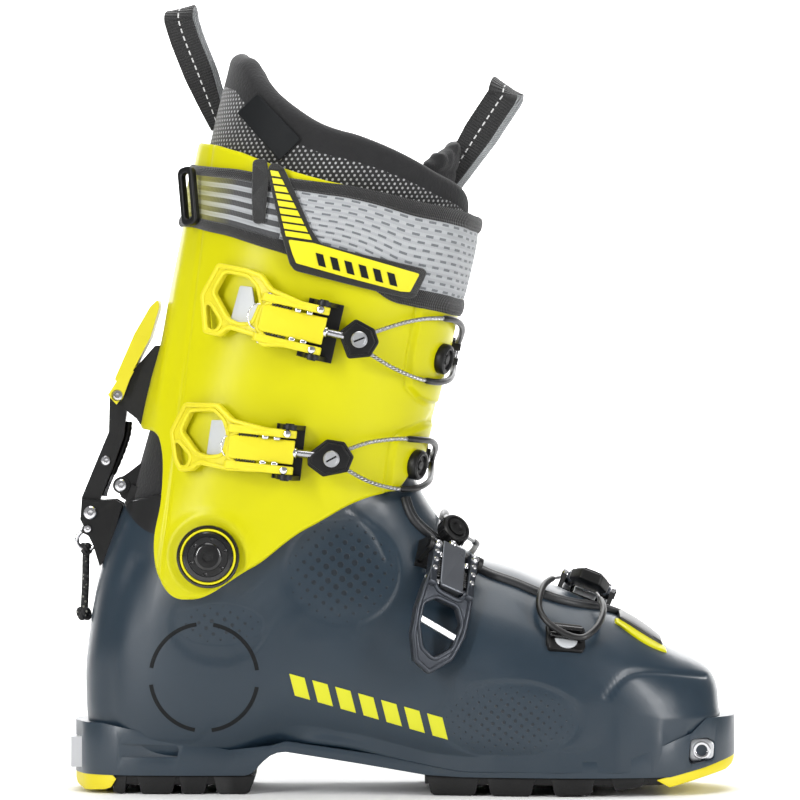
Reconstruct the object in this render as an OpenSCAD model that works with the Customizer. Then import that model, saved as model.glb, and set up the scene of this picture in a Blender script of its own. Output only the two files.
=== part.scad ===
// Touring ski boot, right foot. Origin: ground plane under the midsole mark,
// +X toward the toe, -Y the outer (lateral) side, +Z up.

/* [Boot] */
// Sole length, heel ledge to toe ledge
sole_len = 303; // [300:1:306]
// Shell wall thickness
wall = 4; // [3.5:0.1:4.2]
// Cuff wall thickness
cuff_wall = 3.6; // [3:0.1:4]
// Liner thickness in the foot
liner_t = 7; // [5:0.5:8]

/* [Ankle pivot] */
// Pivot position along X
piv_x = -88.8; // [-90:0.1:-88]
// Pivot height
piv_z = 108.6; // [108:0.1:109]
// Pivot hub radius
hub_r = 11; // [10:0.1:11.5]
// Running gap between hub and bush
fit = 0.05; // [0.03:0.01:0.08]

/* [Fittings] */
// Radius of the toe pin socket
toe_pin_r = 2.3; // [2:0.1:2.6]
// Distance between the outer faces of the toe fittings
toe_gap = 60; // [59:0.5:61]
// Radius of the two heel pin holes
heel_pin_r = 2.6; // [2.4:0.1:3]
// Distance between the two heel pin holes
heel_pitch = 26; // [24:1:28]

/* [Buckles] */
// Pivot pin radius of every lever
pin_r = 2; // [1.8:0.1:2.2]
// Tensioner pin radius
pin2_r = 1.5; // [1.3:0.1:1.6]
// Cable radius
cable_r = 1.5; // [1.2:0.1:1.6]

/* [Hidden] */
$fn = 48;
half = sole_len / 2;
YEL = [0.86, 0.83, 0.06];
NAVY = [0.17, 0.25, 0.31];
BLK = [0.06, 0.06, 0.065];
SIL = [0.8, 0.8, 0.82];
GREY = [0.4, 0.41, 0.42];

// --- helpers ---
function spow(v, e) = v == 0 ? 0 : sign(v) * pow(abs(v), e);
function unit(v) = v / norm(v);
// Catmull-Rom value of a table T at t
function cat(T, t) =
  let (n = len(T), c = min(max(t, 0), n - 1.00001), i = floor(c), u = c - i,
       a = T[max(i - 1, 0)], b = T[i], d = T[min(i + 1, n - 1)], e = T[min(i + 2, n - 1)])
  0.5 * (2 * b + (d - a) * u + (2 * a - 5 * b + 4 * d - e) * u * u + (3 * b - a - 3 * d + e) * u * u * u);
function circ(c, r, n = 24, a0 = 0, a1 = 360) = [for (i = [0:n - 1]) c + r * [cos(a0 + (a1 - a0) * i / n), sin(a0 + (a1 - a0) * i / n)]];
// polygon p with its corners rounded to radius r
function rnd(p, r, k = 4) = [for (i = [0:len(p) - 1])
  let (n = len(p), q = p[i], a = p[(i + n - 1) % n] - q, b = p[(i + 1) % n] - q,
       ua = unit(a), ub = unit(b), h = acos(max(-1, min(1, ua * ub))) / 2,
       d = min(r / tan(h), 0.45 * min(norm(a), norm(b))))
  for (j = [0:k]) let (s = j / k) q + ua * d * (1 - s) * (1 - s) + ub * d * s * s];
// closed solid through rings of equal length; closed = true joins last to first
module skin(rings, closed = false) {
  m = len(rings); n = len(rings[0]);
  polyhedron(points = [for (r = rings) each r], faces = concat(
    closed ? [] : [[for (i = [0:n - 1]) i], [for (i = [n - 1:-1:0]) (m - 1) * n + i]],
    [for (j = [0:m - (closed ? 1 : 2)]) for (i = [0:n - 1]) each
      let (k = (j + 1) % m, l = (i + 1) % n) [[j * n + i, k * n + l, j * n + l], [j * n + i, k * n + i, k * n + l]]]), convexity = 8);
}
// tube of radius r along path p, s sides
function ptan(p, i) = unit(p[min(i + 1, len(p) - 1)] - p[max(i - 1, 0)]);
function tube_rings(p, r, s, up) = [for (i = [0:len(p) - 1])
  let (t = ptan(p, i), x = unit(cross(up, t)), y = cross(t, x))
  [for (k = [0:s - 1]) p[i] + r * (cos(360 * k / s) * x + sin(360 * k / s) * y)]];
module tube(p, r, s = 8, up = [0, 0.01, 1]) skin(tube_rings(p, r, s, up));
// frame at point p: local z along nn, local x along dd
module at(p, nn, dd) {
  z = unit(nn); x = unit(dd - (dd * z) * z); y = cross(z, x);
  multmatrix([[x[0], y[0], z[0], p[0]], [x[1], y[1], z[1], p[1]], [x[2], y[2], z[2], p[2]], [0, 0, 0, 1]]) children();
}
// extrusion of a side-view outline [x, z] between y0 and y1
module side(pts, y0, y1) translate([0, y1, 0]) rotate([90, 0, 0]) linear_extrude(y1 - y0) polygon(pts);
module ycyl(x, y0, y1, z, r) translate([x, y1, z]) rotate([90, 0, 0]) cylinder(r = r, h = y1 - y0);
// cylinder along local y between -h and +h
module lcyl(x, z, r, y0, y1) translate([x, y1, z]) rotate([90, 0, 0]) cylinder(r = r, h = y1 - y0);

// --- lower shell stations: top point, bottom point, half width, centre share, top and bottom roundness ---
ST = [
[143.6, 46, 143.6, 24, 12, .5, 2.2, 2.6], [142.4, 50.5, 142.4, 17, 21, .5, 2.3, 3], [139, 55.5, 139, 11, 29, .47, 2.4, 3.6],
[132, 60, 132, 8, 36.5, .45, 2.4, 4.2], [120, 66, 120, 8, 44, .44, 2.4, 4.6], [100, 79, 100, 8, 50.5, .42, 2.3, 5],
[75, 90.5, 74, 8, 53.5, .40, 2.2, 5], [53, 100.5, 48, 8.5, 52.5, .40, 2.1, 5], [35, 106, 22, 10, 49.5, .42, 2.1, 4.6],
[23, 114, -5, 14, 46.5, .46, 2.1, 4.2], [15, 125, -32, 18, 44.5, .5, 2.2, 3.8], [9, 134, -60, 18, 43.5, .53, 2.3, 3.6],
[6, 140, -92, 8, 43.5, .55, 2.4, 3.6], [3, 145, -126, 7, 43.5, .57, 2.5, 3.4], [1, 149, -143, 22, 43.5, .58, 2.5, 3.2],
[0, 152, -146.5, 50, 44, .58, 2.5, 3], [-1, 154, -144.5, 76, 44.6, .57, 2.5, 2.7], [-3, 156, -139.5, 102, 44.6, .55, 2.4, 2.5],
[-6, 158, -129, 131, 44.6, .53, 2.4, 2.4]];
NST = len(ST) - 1;
function lring(t, off, n) =
  let (s = cat(ST, t), ka = off * min(max((s[0] - 100) / 43, 0), 1), kb = off * min(max((s[2] - 100) / 43, 0), 1),
       A = [s[0] - ka, s[1]], B = [s[2] - kb, s[3]], L = norm(A - B), u = (A - B) / L, C = B + (A - B) * s[5],
       ht = (1 - s[5]) * L - off, hb = s[5] * L - off, w = s[4] - off)
  [for (i = [0:n - 1]) let (a = 360 * i / n, c = cos(a), e = c >= 0 ? s[6] : s[7], q = C + u * (c >= 0 ? ht : hb) * spow(c, 2 / e))
    [q[0], w * spow(sin(a), 2 / e), q[1]]];
// point on the shell at station t, angle a from the top (negative = outer side), off outward
function lpt(t, a, off) =
  let (s = cat(ST, t), A = [s[0], s[1]], B = [s[2], s[3]], L = norm(A - B), u = (A - B) / L, C = B + (A - B) * s[5],
       c = cos(a), e = c >= 0 ? s[6] : s[7], q = C + u * ((c >= 0 ? (1 - s[5]) : s[5]) * L + off) * spow(c, 2 / e))
  [q[0], (s[4] + off) * spow(sin(a), 2 / e), q[1]];
// cup between offsets o and o2, from the toe to station t1
module foot_cup(o, o2, t1, m, n, t0)
  skin(concat([for (i = [0:m]) lring(t0 + (t1 - t0) * i / m, o, n)],
              [for (i = [m:-1:0]) lring(t0 + 0.5 + (t1 - t0 - 0.5) * i / m, o2, n)]));

// --- cuff sections: height, rear, front, half width ---
CF = [
[84, -146, 2, 50.5], [100, -144, 4, 51], [116, -139, 5, 51.5], [132, -131, 6, 52], [150, -125, 8, 53], [168, -121.5, 12, 54.3],
[186, -117.5, 16.5, 55.5], [206, -112, 21, 56.8], [228, -108, 26, 58], [250, -103.5, 31, 59], [272, -99, 35.5, 60],
[300, -93, 41, 61], [345, -83, 50, 62.5]];
CZ = [for (c = CF) c[0]];
function cidx(z, i = 0) = i >= len(CF) - 2 || z < CZ[i + 1] ? i : cidx(z, i + 1);
function cfs(z) = let (i = cidx(z)) cat(CF, i + (z - CZ[i]) / (CZ[i + 1] - CZ[i]));
// point on the cuff surface: a = 0 at the front, negative toward the outer side
function cpt(a, z, off) = let (s = cfs(z), e = 2 / 2.35)
  [(s[1] + s[2]) / 2 + ((s[2] - s[1]) / 2 + off) * spow(cos(a), e), (s[3] + off) * spow(sin(a), e), z];
// linear lookup in [angle, value] pairs, on the absolute angle
function edge(T, a) = let (v = a > 180 ? 360 - a : a) lookup(v, T);
CBOT = [[0, 156], [20, 152], [34, 138], [52, 135], [62, 131], [80, 118], [92, 100], [102, 89], [114, 89], [124, 104], [134, 140], [142, 160], [150, 165], [180, 166]];
CTOP = [[0, 246], [30, 252], [60, 262], [90, 277], [130, 291], [150, 295], [180, 297]];
// tube of sections between two edge curves
function wrap(bot, top, off, m, n, a0 = 0) = [for (j = [0:m]) [for (i = [0:n - 1])
  let (a = a0 + 360 * i / n, zb = edge(bot, a), zt = edge(top, a)) cpt(a, zb + (zt - zb) * j / m, off)]];
module wall_tube(bot, top, o, i, m, n)
  skin(concat(wrap(bot, top, o, m, n), [for (k = [m:-1:0]) wrap(bot, top, i, m, n)[k]]), true);

// --- plan outline of the sole at inset d ---
PLAN = [[half, 0], [150, 14], [144, 26], [132, 38], [116, 47], [96, 51.5], [70, 52], [40, 48], [10, 42], [-30, 37.5], [-70, 36.5], [-105, 36.5], [-128, 34.5], [-143, 27], [-149, 14], [-half, 0]];
function plan(d) = concat([for (p = PLAN) [p[0] - d * sign(p[0]) * (abs(p[0]) > 125 ? 1 : 0), max(p[1] - d, 0.001)]],
                          [for (i = [len(PLAN) - 2:-1:1]) [PLAN[i][0] - d * sign(PLAN[i][0]) * (abs(PLAN[i][0]) > 125 ? 1 : 0), -(PLAN[i][1] - d)]]);
module planx(d, h) linear_extrude(h) polygon(plan(d));

// recesses that hold the toe fittings
module toe_pockets() for (s = [-1, 1]) {
  ycyl(135, s > 0 ? toe_gap / 2 - 0.5 : -60, s > 0 ? 60 : -toe_gap / 2 + 0.5, 19.5, 6.4);
  ycyl(135, s > 0 ? 23.6 : -60, s > 0 ? 60 : -23.6, 19.5, 4.5);
}
module lower_shell() color(NAVY) difference() { foot_cup(0, wall, NST, 27, 40, 0.2); toe_pockets(); }
module sole_frame() color(NAVY) difference() {
  intersection() {
    planx(0, 40);
    side([[half, 17.5], [half, 34.5], [137, 34.5], [130, 28], [100, 16], [9, 15], [-54, 24], [-61, 22], [-80, 20], [-138, 32], [-half, 32], [-half, 8.4], [-70.8, 8.4], [-61.3, 18], [-54.3, 19.2], [9.1, 9.2], [25.3, 8.4], [120, 8.4], [136, 12]], -60, 60);
  }
  skin([for (t = [0:1:NST - 2]) lring(t, 0.9, 20)]);
  toe_pockets();
  translate([-half - 1.2, -18, 11]) cube([7, 36, 14]);
}
// insole that follows the arch of the liner
FB = [[-112, 20.9], [-95, 20.9], [-76, 28], [-62, 31.2], [-32, 31.2], [-5, 27.4], [22, 23.8], [48, 21.8], [84, 21.2]];
module footbed() color(GREY) side(concat(FB, [for (i = [len(FB) - 1:-1:0]) FB[i] + [0, 3]]), -19, 19);
module heel_sole() color(BLK) intersection() {
  planx(1, 12);
  side([[-132.8, 8.2], [-133.8, 3.2], [-133, 0.3], [-128, 0], [-127, 4], [-120, 4], [-119, 0], [-91, 0], [-90, 4], [-85, 4], [-84, 0], [-71, 0], [-68, 8.2]], -60, 60);
}
module forefoot_sole() color(BLK) intersection() {
  planx(1, 20);
  side([[10, 8.2], [12, 3], [13, 0], [32, 0], [33, 4], [38, 4], [39, 0], [57, 0], [58, 4], [67, 4], [68, 0.4], [84, 1], [85, 5], [95, 5.6], [96, 2.6], [107, 4.6], [108, 7], [119, 8], [119, 8.2]], -60, 60);
}
module toe_bumper() color(YEL) difference() {
  intersection() { planx(0.2, 40); side([[114, 7.4], [119, 8.2], [136, 11.8], [150, 17], [147, 13], [146, 10.5], [119.6, 3.8]], -60, 60); }
  translate([0, 0, 1]) planx(30, 3);
}
module heel_bumper() color(YEL) difference() { intersection() { planx(-0.4, 40); side([[-half - 1, 13.5], [-147.4, 12.6], [-133, 8.4], [-134, 3.2], [-146, 1], [-150.4, 3.2], [-half - 1, 8]], -60, 60); }
  translate([-half - 1.2, -18, 11]) cube([7, 36, 14]);
}
module toe_fittings() color(SIL) for (s = [-1, 1]) mirror([0, s > 0 ? 0 : 1, 0]) difference() {
  ycyl(135, 20, toe_gap / 2, 19.5, 6);
  ycyl(135, 24, toe_gap / 2 + 1, 19.5, toe_pin_r);
}
module heel_fitting() color(SIL) difference() {
  translate([-half - 1.2, -18, 11]) cube([7, 36, 14]);
  for (s = [-1, 1]) translate([-half - 3, s * heel_pitch / 2, 18]) rotate([0, 90, 0]) cylinder(r = heel_pin_r, h = 20);
}
module sole_screws() color(SIL) for (x = [-100, 76]) translate([x, 0, 2]) difference() { cylinder(r = 4, h = 10); translate([0, 0, -1]) cylinder(r = 1.6, h = 3); }
// closing tube that runs from the ankle over the instep to the toe
SEAL = [for (p = [[12.2, -31], [11.6, -34], [10.8, -36], [10, -33], [9.4, -27], [8.8, -22], [8, -25], [7.2, -28], [6.5, -29], [5.9, -24], [5.4, -12], [5, -2]]) p];
module instep_seal() color(BLK) tube([for (i = [0:36]) let (q = cat(SEAL, i * 11 / 36)) lpt(q[0], q[1], 0.2)], 2.7, 8, [0.3, 0, 1]);
module toe_plug() color(GREY) hull() for (t = [4.35, 4.95], a = [-16, 16]) translate(lpt(t, a, 0.5)) sphere(r = 4, $fn = 20);
module spoiler() color(BLK) difference() {
  union() {
    side([[-133, 141], [-130, 134], [-125, 131], [-121, 138], [-113, 148], [-107, 160], [-111, 163.5], [-117, 153], [-126, 146]], -12, 12);
    ycyl(-130, -13, 13, 139.6, 3.8);
    side([[-124.6, 122], [-128, 132], [-125, 140], [-120, 138], [-120.4, 128]], -16, 16);
  }
}
module lock_bracket() color(BLK) {
  for (s = [-1, 1]) side([[-148, 133], [-138.5, 132.5], [-133, 133], [-129.5, 131], [-136, 108], [-140, 102], [-143, 112], [-149, 124]], s > 0 ? 7 : -10, s > 0 ? 10 : -7);
  side([[-140.6, 105], [-137, 105], [-134, 114], [-139, 114.6], [-143.8, 120.4], [-148.4, 120.4], [-148.6, 117.6], [-143.4, 115]], -3.2, 3.2);
  side([[-139.8, 104], [-138.4, 108.6], [-136.6, 108.6], [-138, 103.4]], -8, 8);
  for (s = [-1, 1]) ycyl(-144.2, s > 0 ? 6.4 : -11, s > 0 ? 11 : -6.4, 127, 2.6);
  for (s = [-1, 1]) ycyl(-145.4, s > 0 ? 6.2 : -11, s > 0 ? 11 : -6.2, 119.6, 1.6);
}
module liner_foot() color(BLK) foot_cup(wall + 0.8, wall + 0.8 + liner_t, 17.2, 20, 32, 3.2);
module pivot_hubs() color(BLK) for (s = [-1, 1]) mirror([0, s > 0 ? 0 : 1, 0]) ycyl(piv_x, 42, 55.4, piv_z, hub_r);
module pivot_rings() color(YEL) for (s = [-1, 1]) mirror([0, s > 0 ? 0 : 1, 0]) difference() {
  ycyl(piv_x, 55.4, 56.2, piv_z, 12.6); ycyl(piv_x, 55, 57, piv_z, 11);
}
module pivot_bolts() color(BLK) for (s = [-1, 1]) mirror([0, s > 0 ? 0 : 1, 0]) difference() {
  union() { ycyl(piv_x, 55.4, 56.8, piv_z, 11); ycyl(piv_x, 52, 57.6, piv_z, 4.6); }
  translate([piv_x, 58, piv_z]) rotate([90, 0, 0]) cylinder(r = 2.6, h = 3, $fn = 6);
}
// pull cord that hangs behind the heel
CORD = [[-146.8, 0, 107.6], [-146.9, 0, 101], [-147, -0.2, 95], [-147.3, 0, 89], [-147.6, 0, 83]];
module pull_ring() color(SIL) translate([-146.6, 0, 114]) rotate([90, 0, 0]) rotate_extrude() translate([4.4, 0]) circle(r = 1.1, $fn = 24);
module pull_cord() color(BLK) tube(CORD, 1.75, 8, [1, 0, 0.01]);
module cord_knots() color(BLK) { translate([-146.8, 0, 110.4]) sphere(r = 3.1); translate([-147.8, 0, 80]) sphere(r = 3.8); }

module cuff() color(YEL) difference() { wall_tube(CBOT, CTOP, 0, -cuff_wall, 15, 56); ycyl(piv_x, -70, 70, piv_z, 13); }
module pivot_bushes() color(BLK) for (s = [-1, 1]) mirror([0, s > 0 ? 0 : 1, 0]) difference() {
  union() { ycyl(piv_x, 47.4, 55.2, piv_z, 14.2); }
  ycyl(piv_x, 40, 60, piv_z, hub_r + fit);
}
module cuff_bracket() color(BLK) difference() {
  side([[-112, 203.6], [-114.5, 203.6], [-123, 194], [-133.9, 184.6], [-135.5, 180.8], [-134.3, 177], [-128, 174], [-123, 170], [-121, 167], [-117.6, 168], [-114, 187]], -11, 11);
  side([[-150, 150], [-123.6, 160], [-123, 186], [-121, 196], [-112, 208], [-150, 230]], -7.4, 7.4);
}
module top_pin() color(SIL) ycyl(-131.7, -11.8, 11.8, 180.8, 2.6);
// link between the cuff bracket and the lock bracket
LINK = [[-128.4, 179], [-131.7, 185], [-135.6, 181], [-136, 164], [-141.4, 151], [-148.4, 134], [-149, 126], [-145, 122.6], [-140.6, 125], [-140.6, 132], [-134, 148], [-129, 162], [-128, 172]];
module lock_link() color(BLK) difference() {
  side(rnd(LINK, 3), -5.8, 5.8);
  ycyl(-131.7, -20, 20, 180.8, 2.6 + fit);
  ycyl(-144.2, -20, 20, 127, 3.1);
  translate([-160, -3.5, 100]) cube([40, 7, 39]);
}
WIRE = [[-127, 0, 168.6], [-127.6, 0, 163], [-129.6, 0, 156.6], [-132.4, 0, 149.6], [-136, 0, 141.6], [-137.8, 0, 137], [-138.4, 0, 134.2]];
module release_wire() color(SIL) tube([for (i = [0:18]) cat(WIRE, i / 3)], 1.3, 8, [1, 0, 0.01]);
module walk_lever() color(YEL) difference() {
  union() {
    for (s = [-1, 1]) side([[-136, 181], [-132, 176.6], [-128.6, 181], [-126, 188], [-124, 192], [-129.6, 191]], s > 0 ? 12.2 : -15.2, s > 0 ? 15.2 : -12.2);
    side(rnd([[-133.4, 187], [-126.6, 188], [-116.4, 207.4], [-112.4, 221], [-112.8, 225], [-116.6, 221.4], [-123.8, 209]], 1.4), -15.2, 15.2);
  }
  for (s = [-1, 1]) ycyl(-131.7, -20, 20, 180.8, 2.6 + fit);
  side([[-140, 150], [-140, 192], [-128.8, 196.4], [-121, 193], [-116, 150]], -12.2, 12.2);
}

// --- soft parts ---
module liner_collar() color(BLK) wall_tube([[0, 184], [60, 182], [130, 178], [180, 178]], [[0, 268], [22, 276], [45, 282], [70, 292], [100, 304], [125, 318], [150, 334], [180, 338]], -cuff_wall - 0.8, -cuff_wall - 11, 10, 32);
module tongue() color(BLK) skin(
  [for (j = [0:8]) let (z = 200 + 100 * j / 8 - (j == 8 ? 4 : 0)) concat([for (a = [-38:9.5:38]) cpt(a, z, -15.4)], [for (a = [38:-9.5:-38]) cpt(a, z, -22)])]);
// webbing loop: a near leg up along p, an arch over to the far leg, and back down; legs y0 either side, far leg dx forward
function legs(p, y0, dx) = let (n = len(p) - 1, e = p[n])
  concat([for (i = [0:n - 1]) [p[i][0], -y0, p[i][1]]],
         [for (k = [0:8]) let (a = 22.5 * k) [e[0] + dx * (1 - cos(a)) / 2, -y0 * cos(a), e[1] + 5 * sin(a)]],
         [for (i = [n - 1:-1:0]) [p[i][0] + dx, y0, p[i][1]]]);
module webbing_loop(p, y0, dx, hw, ht, w) {
  q = legs(p, y0, dx); n = len(q);
  skin([for (i = [0:n - 1]) let (t = ptan(q, i), x = unit(w - (w * t) * t), m = cross(t, x), f = min(1, 0.5 + 0.14 * min(i, n - 1 - i)))
    [for (c = [[-hw * f, -ht], [hw * f, -ht], [hw * f, ht], [-hw * f, ht]]) q[i] + c[0] * x + c[1] * m]]);
}
RL = [[-85.6, 303], [-87.6, 309], [-91.4, 319], [-96, 331], [-101, 343.6], [-104, 353]];
FL = [[14, 271], [20, 280], [27.6, 292], [35, 303.6], [41.6, 313.6], [44.6, 318]];
module rear_loop() color(GREY) webbing_loop(RL, 6, 2.5, 6.6, 0.75, [0.97, 0, 0.24]);
module front_loop() color(GREY) webbing_loop(FL, 8, 3.5, 6.8, 0.75, [0.82, 0, -0.57]);
SB = [[0, 217.5], [20, 218], [45, 221], [62, 224], [80, 240], [110, 254], [150, 258.6], [180, 259]];
STP = [[0, 261], [20, 262], [60, 268], [90, 276], [130, 283], [180, 286.6]];
module power_strap() color(GREY) wall_tube(SB, STP, 3.4, 0.4, 6, 40);
// angle bracket patch on the outer side of the strap
function patch(zb, zt, a0, a1, o, m) = [for (i = [0:m]) let (a = a0 + (a1 - a0) * i / m)
  [cpt(a, lookup(-a, zb), o), cpt(a, lookup(-a, zt), o), cpt(a, lookup(-a, zt), 3.7), cpt(a, lookup(-a, zb), 3.7)]];
module strap_patch() color(YEL) skin((patch([[52, 237], [88, 241], [89, 241], [104, 243]], [[52, 248], [80, 254], [88, 262], [104, 280]], -56, -102, 5, 14)));
module strap_loop() color(BLK) difference() {
  at([-97, -34, 271], [-0.62, -0.78, 0.1], [0.78, -0.62, 0.2]) translate([-4, -14, 0]) cube([9, 28, 4]);
  at([-97, -34, 271], [-0.62, -0.78, 0.1], [0.78, -0.62, 0.2]) translate([-1.4, -11, -1]) cube([3.6, 22, 7]);
}

// --- buckles ---
// frames: [pivot point, outward normal, direction toward the hook]
FU = [[-39.1, -68, 210.7], [0, -1, 0], [cos(13), 0, -sin(13)]];
FLO = [[-52.9, -64.6, 155.9], [0, -1, 0], [cos(6), 0, -sin(6)]];
FI = [[22, -36, 109], [0.52, -0.66, 0.54], [0.06, 0.67, 0.74]];
FT = [[85, 20, 92.5], [0.37, 0.3, 0.88], [0.06, -1, 0.3]];
module fr(f) at(f[0], f[1], f[2]) children();
// curved lever plate: outline in local x, y on a ring of radius R, two eyes
module lever(outline, windows, R, w, x2) {
  z2 = -(R - sqrt(R * R - x2 * x2));
  difference() {
    union() {
      intersection() {
        translate([0, 0, -60]) linear_extrude(80) difference() { polygon(outline); for (q = windows) polygon(q); }
        translate([0, 0, -R]) rotate([90, 0, 0]) difference() { cylinder(r = R + 1.9, h = 90, center = true, $fn = 160); cylinder(r = R - 1.9, h = 99, center = true, $fn = 160); }
      }
      for (s = [-1, 1]) { lcyl(0, 0, 3.7, s > 0 ? w - 3.6 : -w, s > 0 ? w : -w + 3.6); lcyl(x2, z2, 3, s > 0 ? w - 3.6 : -w, s > 0 ? w : -w + 3.6); }
    }
    lcyl(0, 0, pin_r + fit, -40, 40);
    lcyl(x2, z2, pin2_r + fit, -40, 40);
    translate([x2 - 6, -w + 3.6, -20]) cube([12 - x2, 2 * w - 7.2, 40]);
  }
}
// two ears on a plate, with stub pins
module base(w, zb, l0, l1) {
  translate([l0, -w - 2.4, zb - 3]) cube([l1 - l0, 2 * w + 4.8, 3]);
  for (s = [-1, 1]) {
    y0 = s > 0 ? w + 0.3 : -w - 2.4;
    hull() { lcyl(0, 0, 3.6, y0, y0 + 2.1); translate([-5, y0, zb - 3]) cube([12, 2.1, 2]); }
    lcyl(0, 0, pin_r, s > 0 ? w - 3.5 : -w - 2.9, s > 0 ? w + 2.9 : -w + 3.5);
  }
}
// block on the second pin: x2 pin position, block to x = l
module block(x2, R, w, l, bw) {
  z2 = -(R - sqrt(R * R - x2 * x2));
  lcyl(x2, z2, pin2_r, -w + 0.2, w - 0.2);
  translate([x2 - 2.8, -bw, z2 - 2.6]) cube([l - x2 + 2.8, 2 * bw, 5.2]);
  translate([l - 1, 0, z2]) rotate([0, 90, 0]) cylinder(r = 1.9, h = 7.4);
}
module head(pts, z0, z1) difference() {
  union() { translate([0, 0, z0]) linear_extrude(z1 - z0) polygon(rnd(pts, 2)); }
}
module screw(x, y, z) translate([x, y, z]) cylinder(r = 3.7, h = 1.4);

UP_OUT = rnd([[-58.5, 3.6], [-53, 19.4], [-38.6, 19.9], [-30.3, 19], [-24, 13.8], [-9, 10.8], [3, 10.8], [3, -10.8], [-13, -10.8], [-23, -12.9], [-27.6, -9.2], [-40, -8.3], [-44, -12.9], [-52.2, -13]], 4);
UP_WIN = [rnd([[-52, 5], [-49, 15], [-37, 15], [-31, 11], [-38, -2], [-46, -7]], 2)];
module upper_lever() color(YEL) fr(FU) lever(UP_OUT, UP_WIN, 90, 11, -24);
module upper_block() color(YEL) fr(FU) block(-24, 90, 11, 3, 6.2);
module upper_base() color(BLK) fr(FU) base(11, -8.6, -7, 9);
HU = [[9, 1], [15.4, 8.8], [24.6, 6.2], [28, 0.8], [25.6, -6.4], [15.9, -9.6]];
module upper_head() color(BLK) { fr(FU) head(HU, -7.8, -1.4); fr(FU) screw(19, 0, -1.5); }
UC = [[63, 211], [52, 215], [40, 216], [26, 215.5], [12, 213], [0, 209], [-8, 204.5], [-10, 200], [-8, 195.5], [0, 191], [12, 188], [26, 187], [40, 188.5], [52, 192], [62, 198]];
module upper_cable() color(BLK) tube([for (i = [0:42]) let (q = cat(UC, i / 3)) cpt(-q[0], q[1], 4.4)], cable_r, 8, [0.2, -0.2, 1]);
module upper_catch() color(BLK) at([20.6, 0, 200.2], [0.975, 0, -0.2], [0, -1, 0]) difference() { union() { translate([0, 0, -2]) cylinder(r = 7, h = 3.6); translate([3.4, -5, 0]) cube([3, 10, 4.4]); } }

LO_OUT = rnd([[-58.2, 3.6], [-51.3, 17.2], [-33.8, 18.6], [-25.7, 12], [-10, 9.8], [3, 9.8], [3, -9.8], [-10, -9.8], [-40, -12], [-48, -14.6], [-53, -10]], 4);
LO_WIN = [rnd([[-50, 3], [-46, 12.6], [-36, 13.6], [-30, 5], [-42, -7], [-46, -8]], 2)];
module lower_lever() color(YEL) fr(FLO) lever(LO_OUT, LO_WIN, 78, 10, -24);
module lower_block() color(YEL) fr(FLO) block(-24, 78, 10, 3, 5.4);
module lower_base() color(BLK) fr(FLO) base(10, -8.6, -6, 7);
HL = [[9, 0], [17, 7.6], [25, 7.2], [30, 1], [28, -6], [17, -9.4], [9.6, -5]];
module lower_head() color(BLK) { fr(FLO) head(HL, -7.8, -1.4); fr(FLO) screw(20, -1, -1.5); }
LC = [[68, 155.5], [58, 160], [46, 161.5], [32, 161], [18, 160], [6, 157.5], [-4, 154], [-8, 150.5], [-6, 147], [2, 143], [14, 140.5], [28, 138.6], [42, 139], [56, 142], [66, 147]];
module lower_cable() color(BLK) tube([for (i = [0:42]) let (q = cat(LC, i / 3)) cpt(-q[0], q[1], 4.8)], cable_r, 8, [0.2, -0.2, 1]);
module lower_catch() color(BLK) at([8.4, 0, 152], [0.985, 0, -0.15], [0, -1, 0]) difference() { union() { translate([0, 0, -2]) cylinder(r = 6.4, h = 3.6); translate([1.4, -4.6, 0]) cube([3, 9.2, 3]); } }

IN_OUT = rnd([[-60, -3], [-57, 8], [-44, 13], [-30, 13.4], [-12, 11.4], [4, 11.4], [4, -11.4], [-12, -11.4], [-34, -13], [-50, -12]], 4);
IN_WIN = [rnd([[-52, -3], [-48, 7], [-34, 8], [-30, -6], [-44, -7]], 2)];
module instep_lever() color(BLK) fr(FI) lever(IN_OUT, IN_WIN, 84, 11.6, -18);
module instep_block() color(GREY) fr(FI) block(-18, 84, 11.6, 5, 6);
module instep_base() color(BLK) fr(FI) base(11.6, -8.2, -6, 7);
module instep_head() color(BLK) fr(FI) translate([15, 0, -5]) cylinder(r = 7, h = 6.8);
IC = [[9.6, -10], [9.7, 2], [9.8, 14], [9.7, 26], [9.4, 33], [9, 36], [8.6, 33], [8.3, 26], [8.2, 14], [8.2, 2], [8.4, -9]];
module instep_cable() color(SIL) tube([for (i = [0:30]) let (q = cat(IC, i / 3)) lpt(q[0], q[1], 5.2)], cable_r, 8, [1, 0, 0.2]);
module instep_catch() color(BLK) at(lpt(9, 26, 0), [0.5, 0.55, 0.66], [0, -1, 0.4]) { translate([0, 0, -2.4]) cylinder(r = 6, h = 4); translate([3, -4, 0]) cube([2.6, 8, 4]); }

TO_OUT = rnd([[-46, -6], [-46, 6], [-36, 11.6], [-12, 10.4], [4, 10.4], [4, -10.4], [-12, -10.4], [-36, -11.6]], 4);
module toe_lever() color(BLK) fr(FT) lever(TO_OUT, [], 56, 10.6, -15);
module toe_block() color(SIL) fr(FT) block(-15, 56, 10.6, 5, 5.4);
module toe_base() color(BLK) fr(FT) base(10.6, -7.6, -5, 6);
module toe_head() color(BLK) { fr(FT) head([[10, -6], [10, 6], [18, 9.6], [26, 5], [26, -5], [18, -9.6]], -5.6, 0.6); fr(FT) screw(17.4, 0, 0.5); }
TC = [[6.2, -10], [6.5, -28], [6.62, -44], [6.5, -52], [6.2, -56], [5.9, -57], [5.7, -54], [5.5, -44], [5.4, -28], [5.5, -10]];
module toe_cable() color(SIL) tube([for (i = [0:27]) let (q = cat(TC, i / 3)) lpt(q[0], q[1], 5.6)], cable_r, 8, [1, 0, 0.2]);
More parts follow.
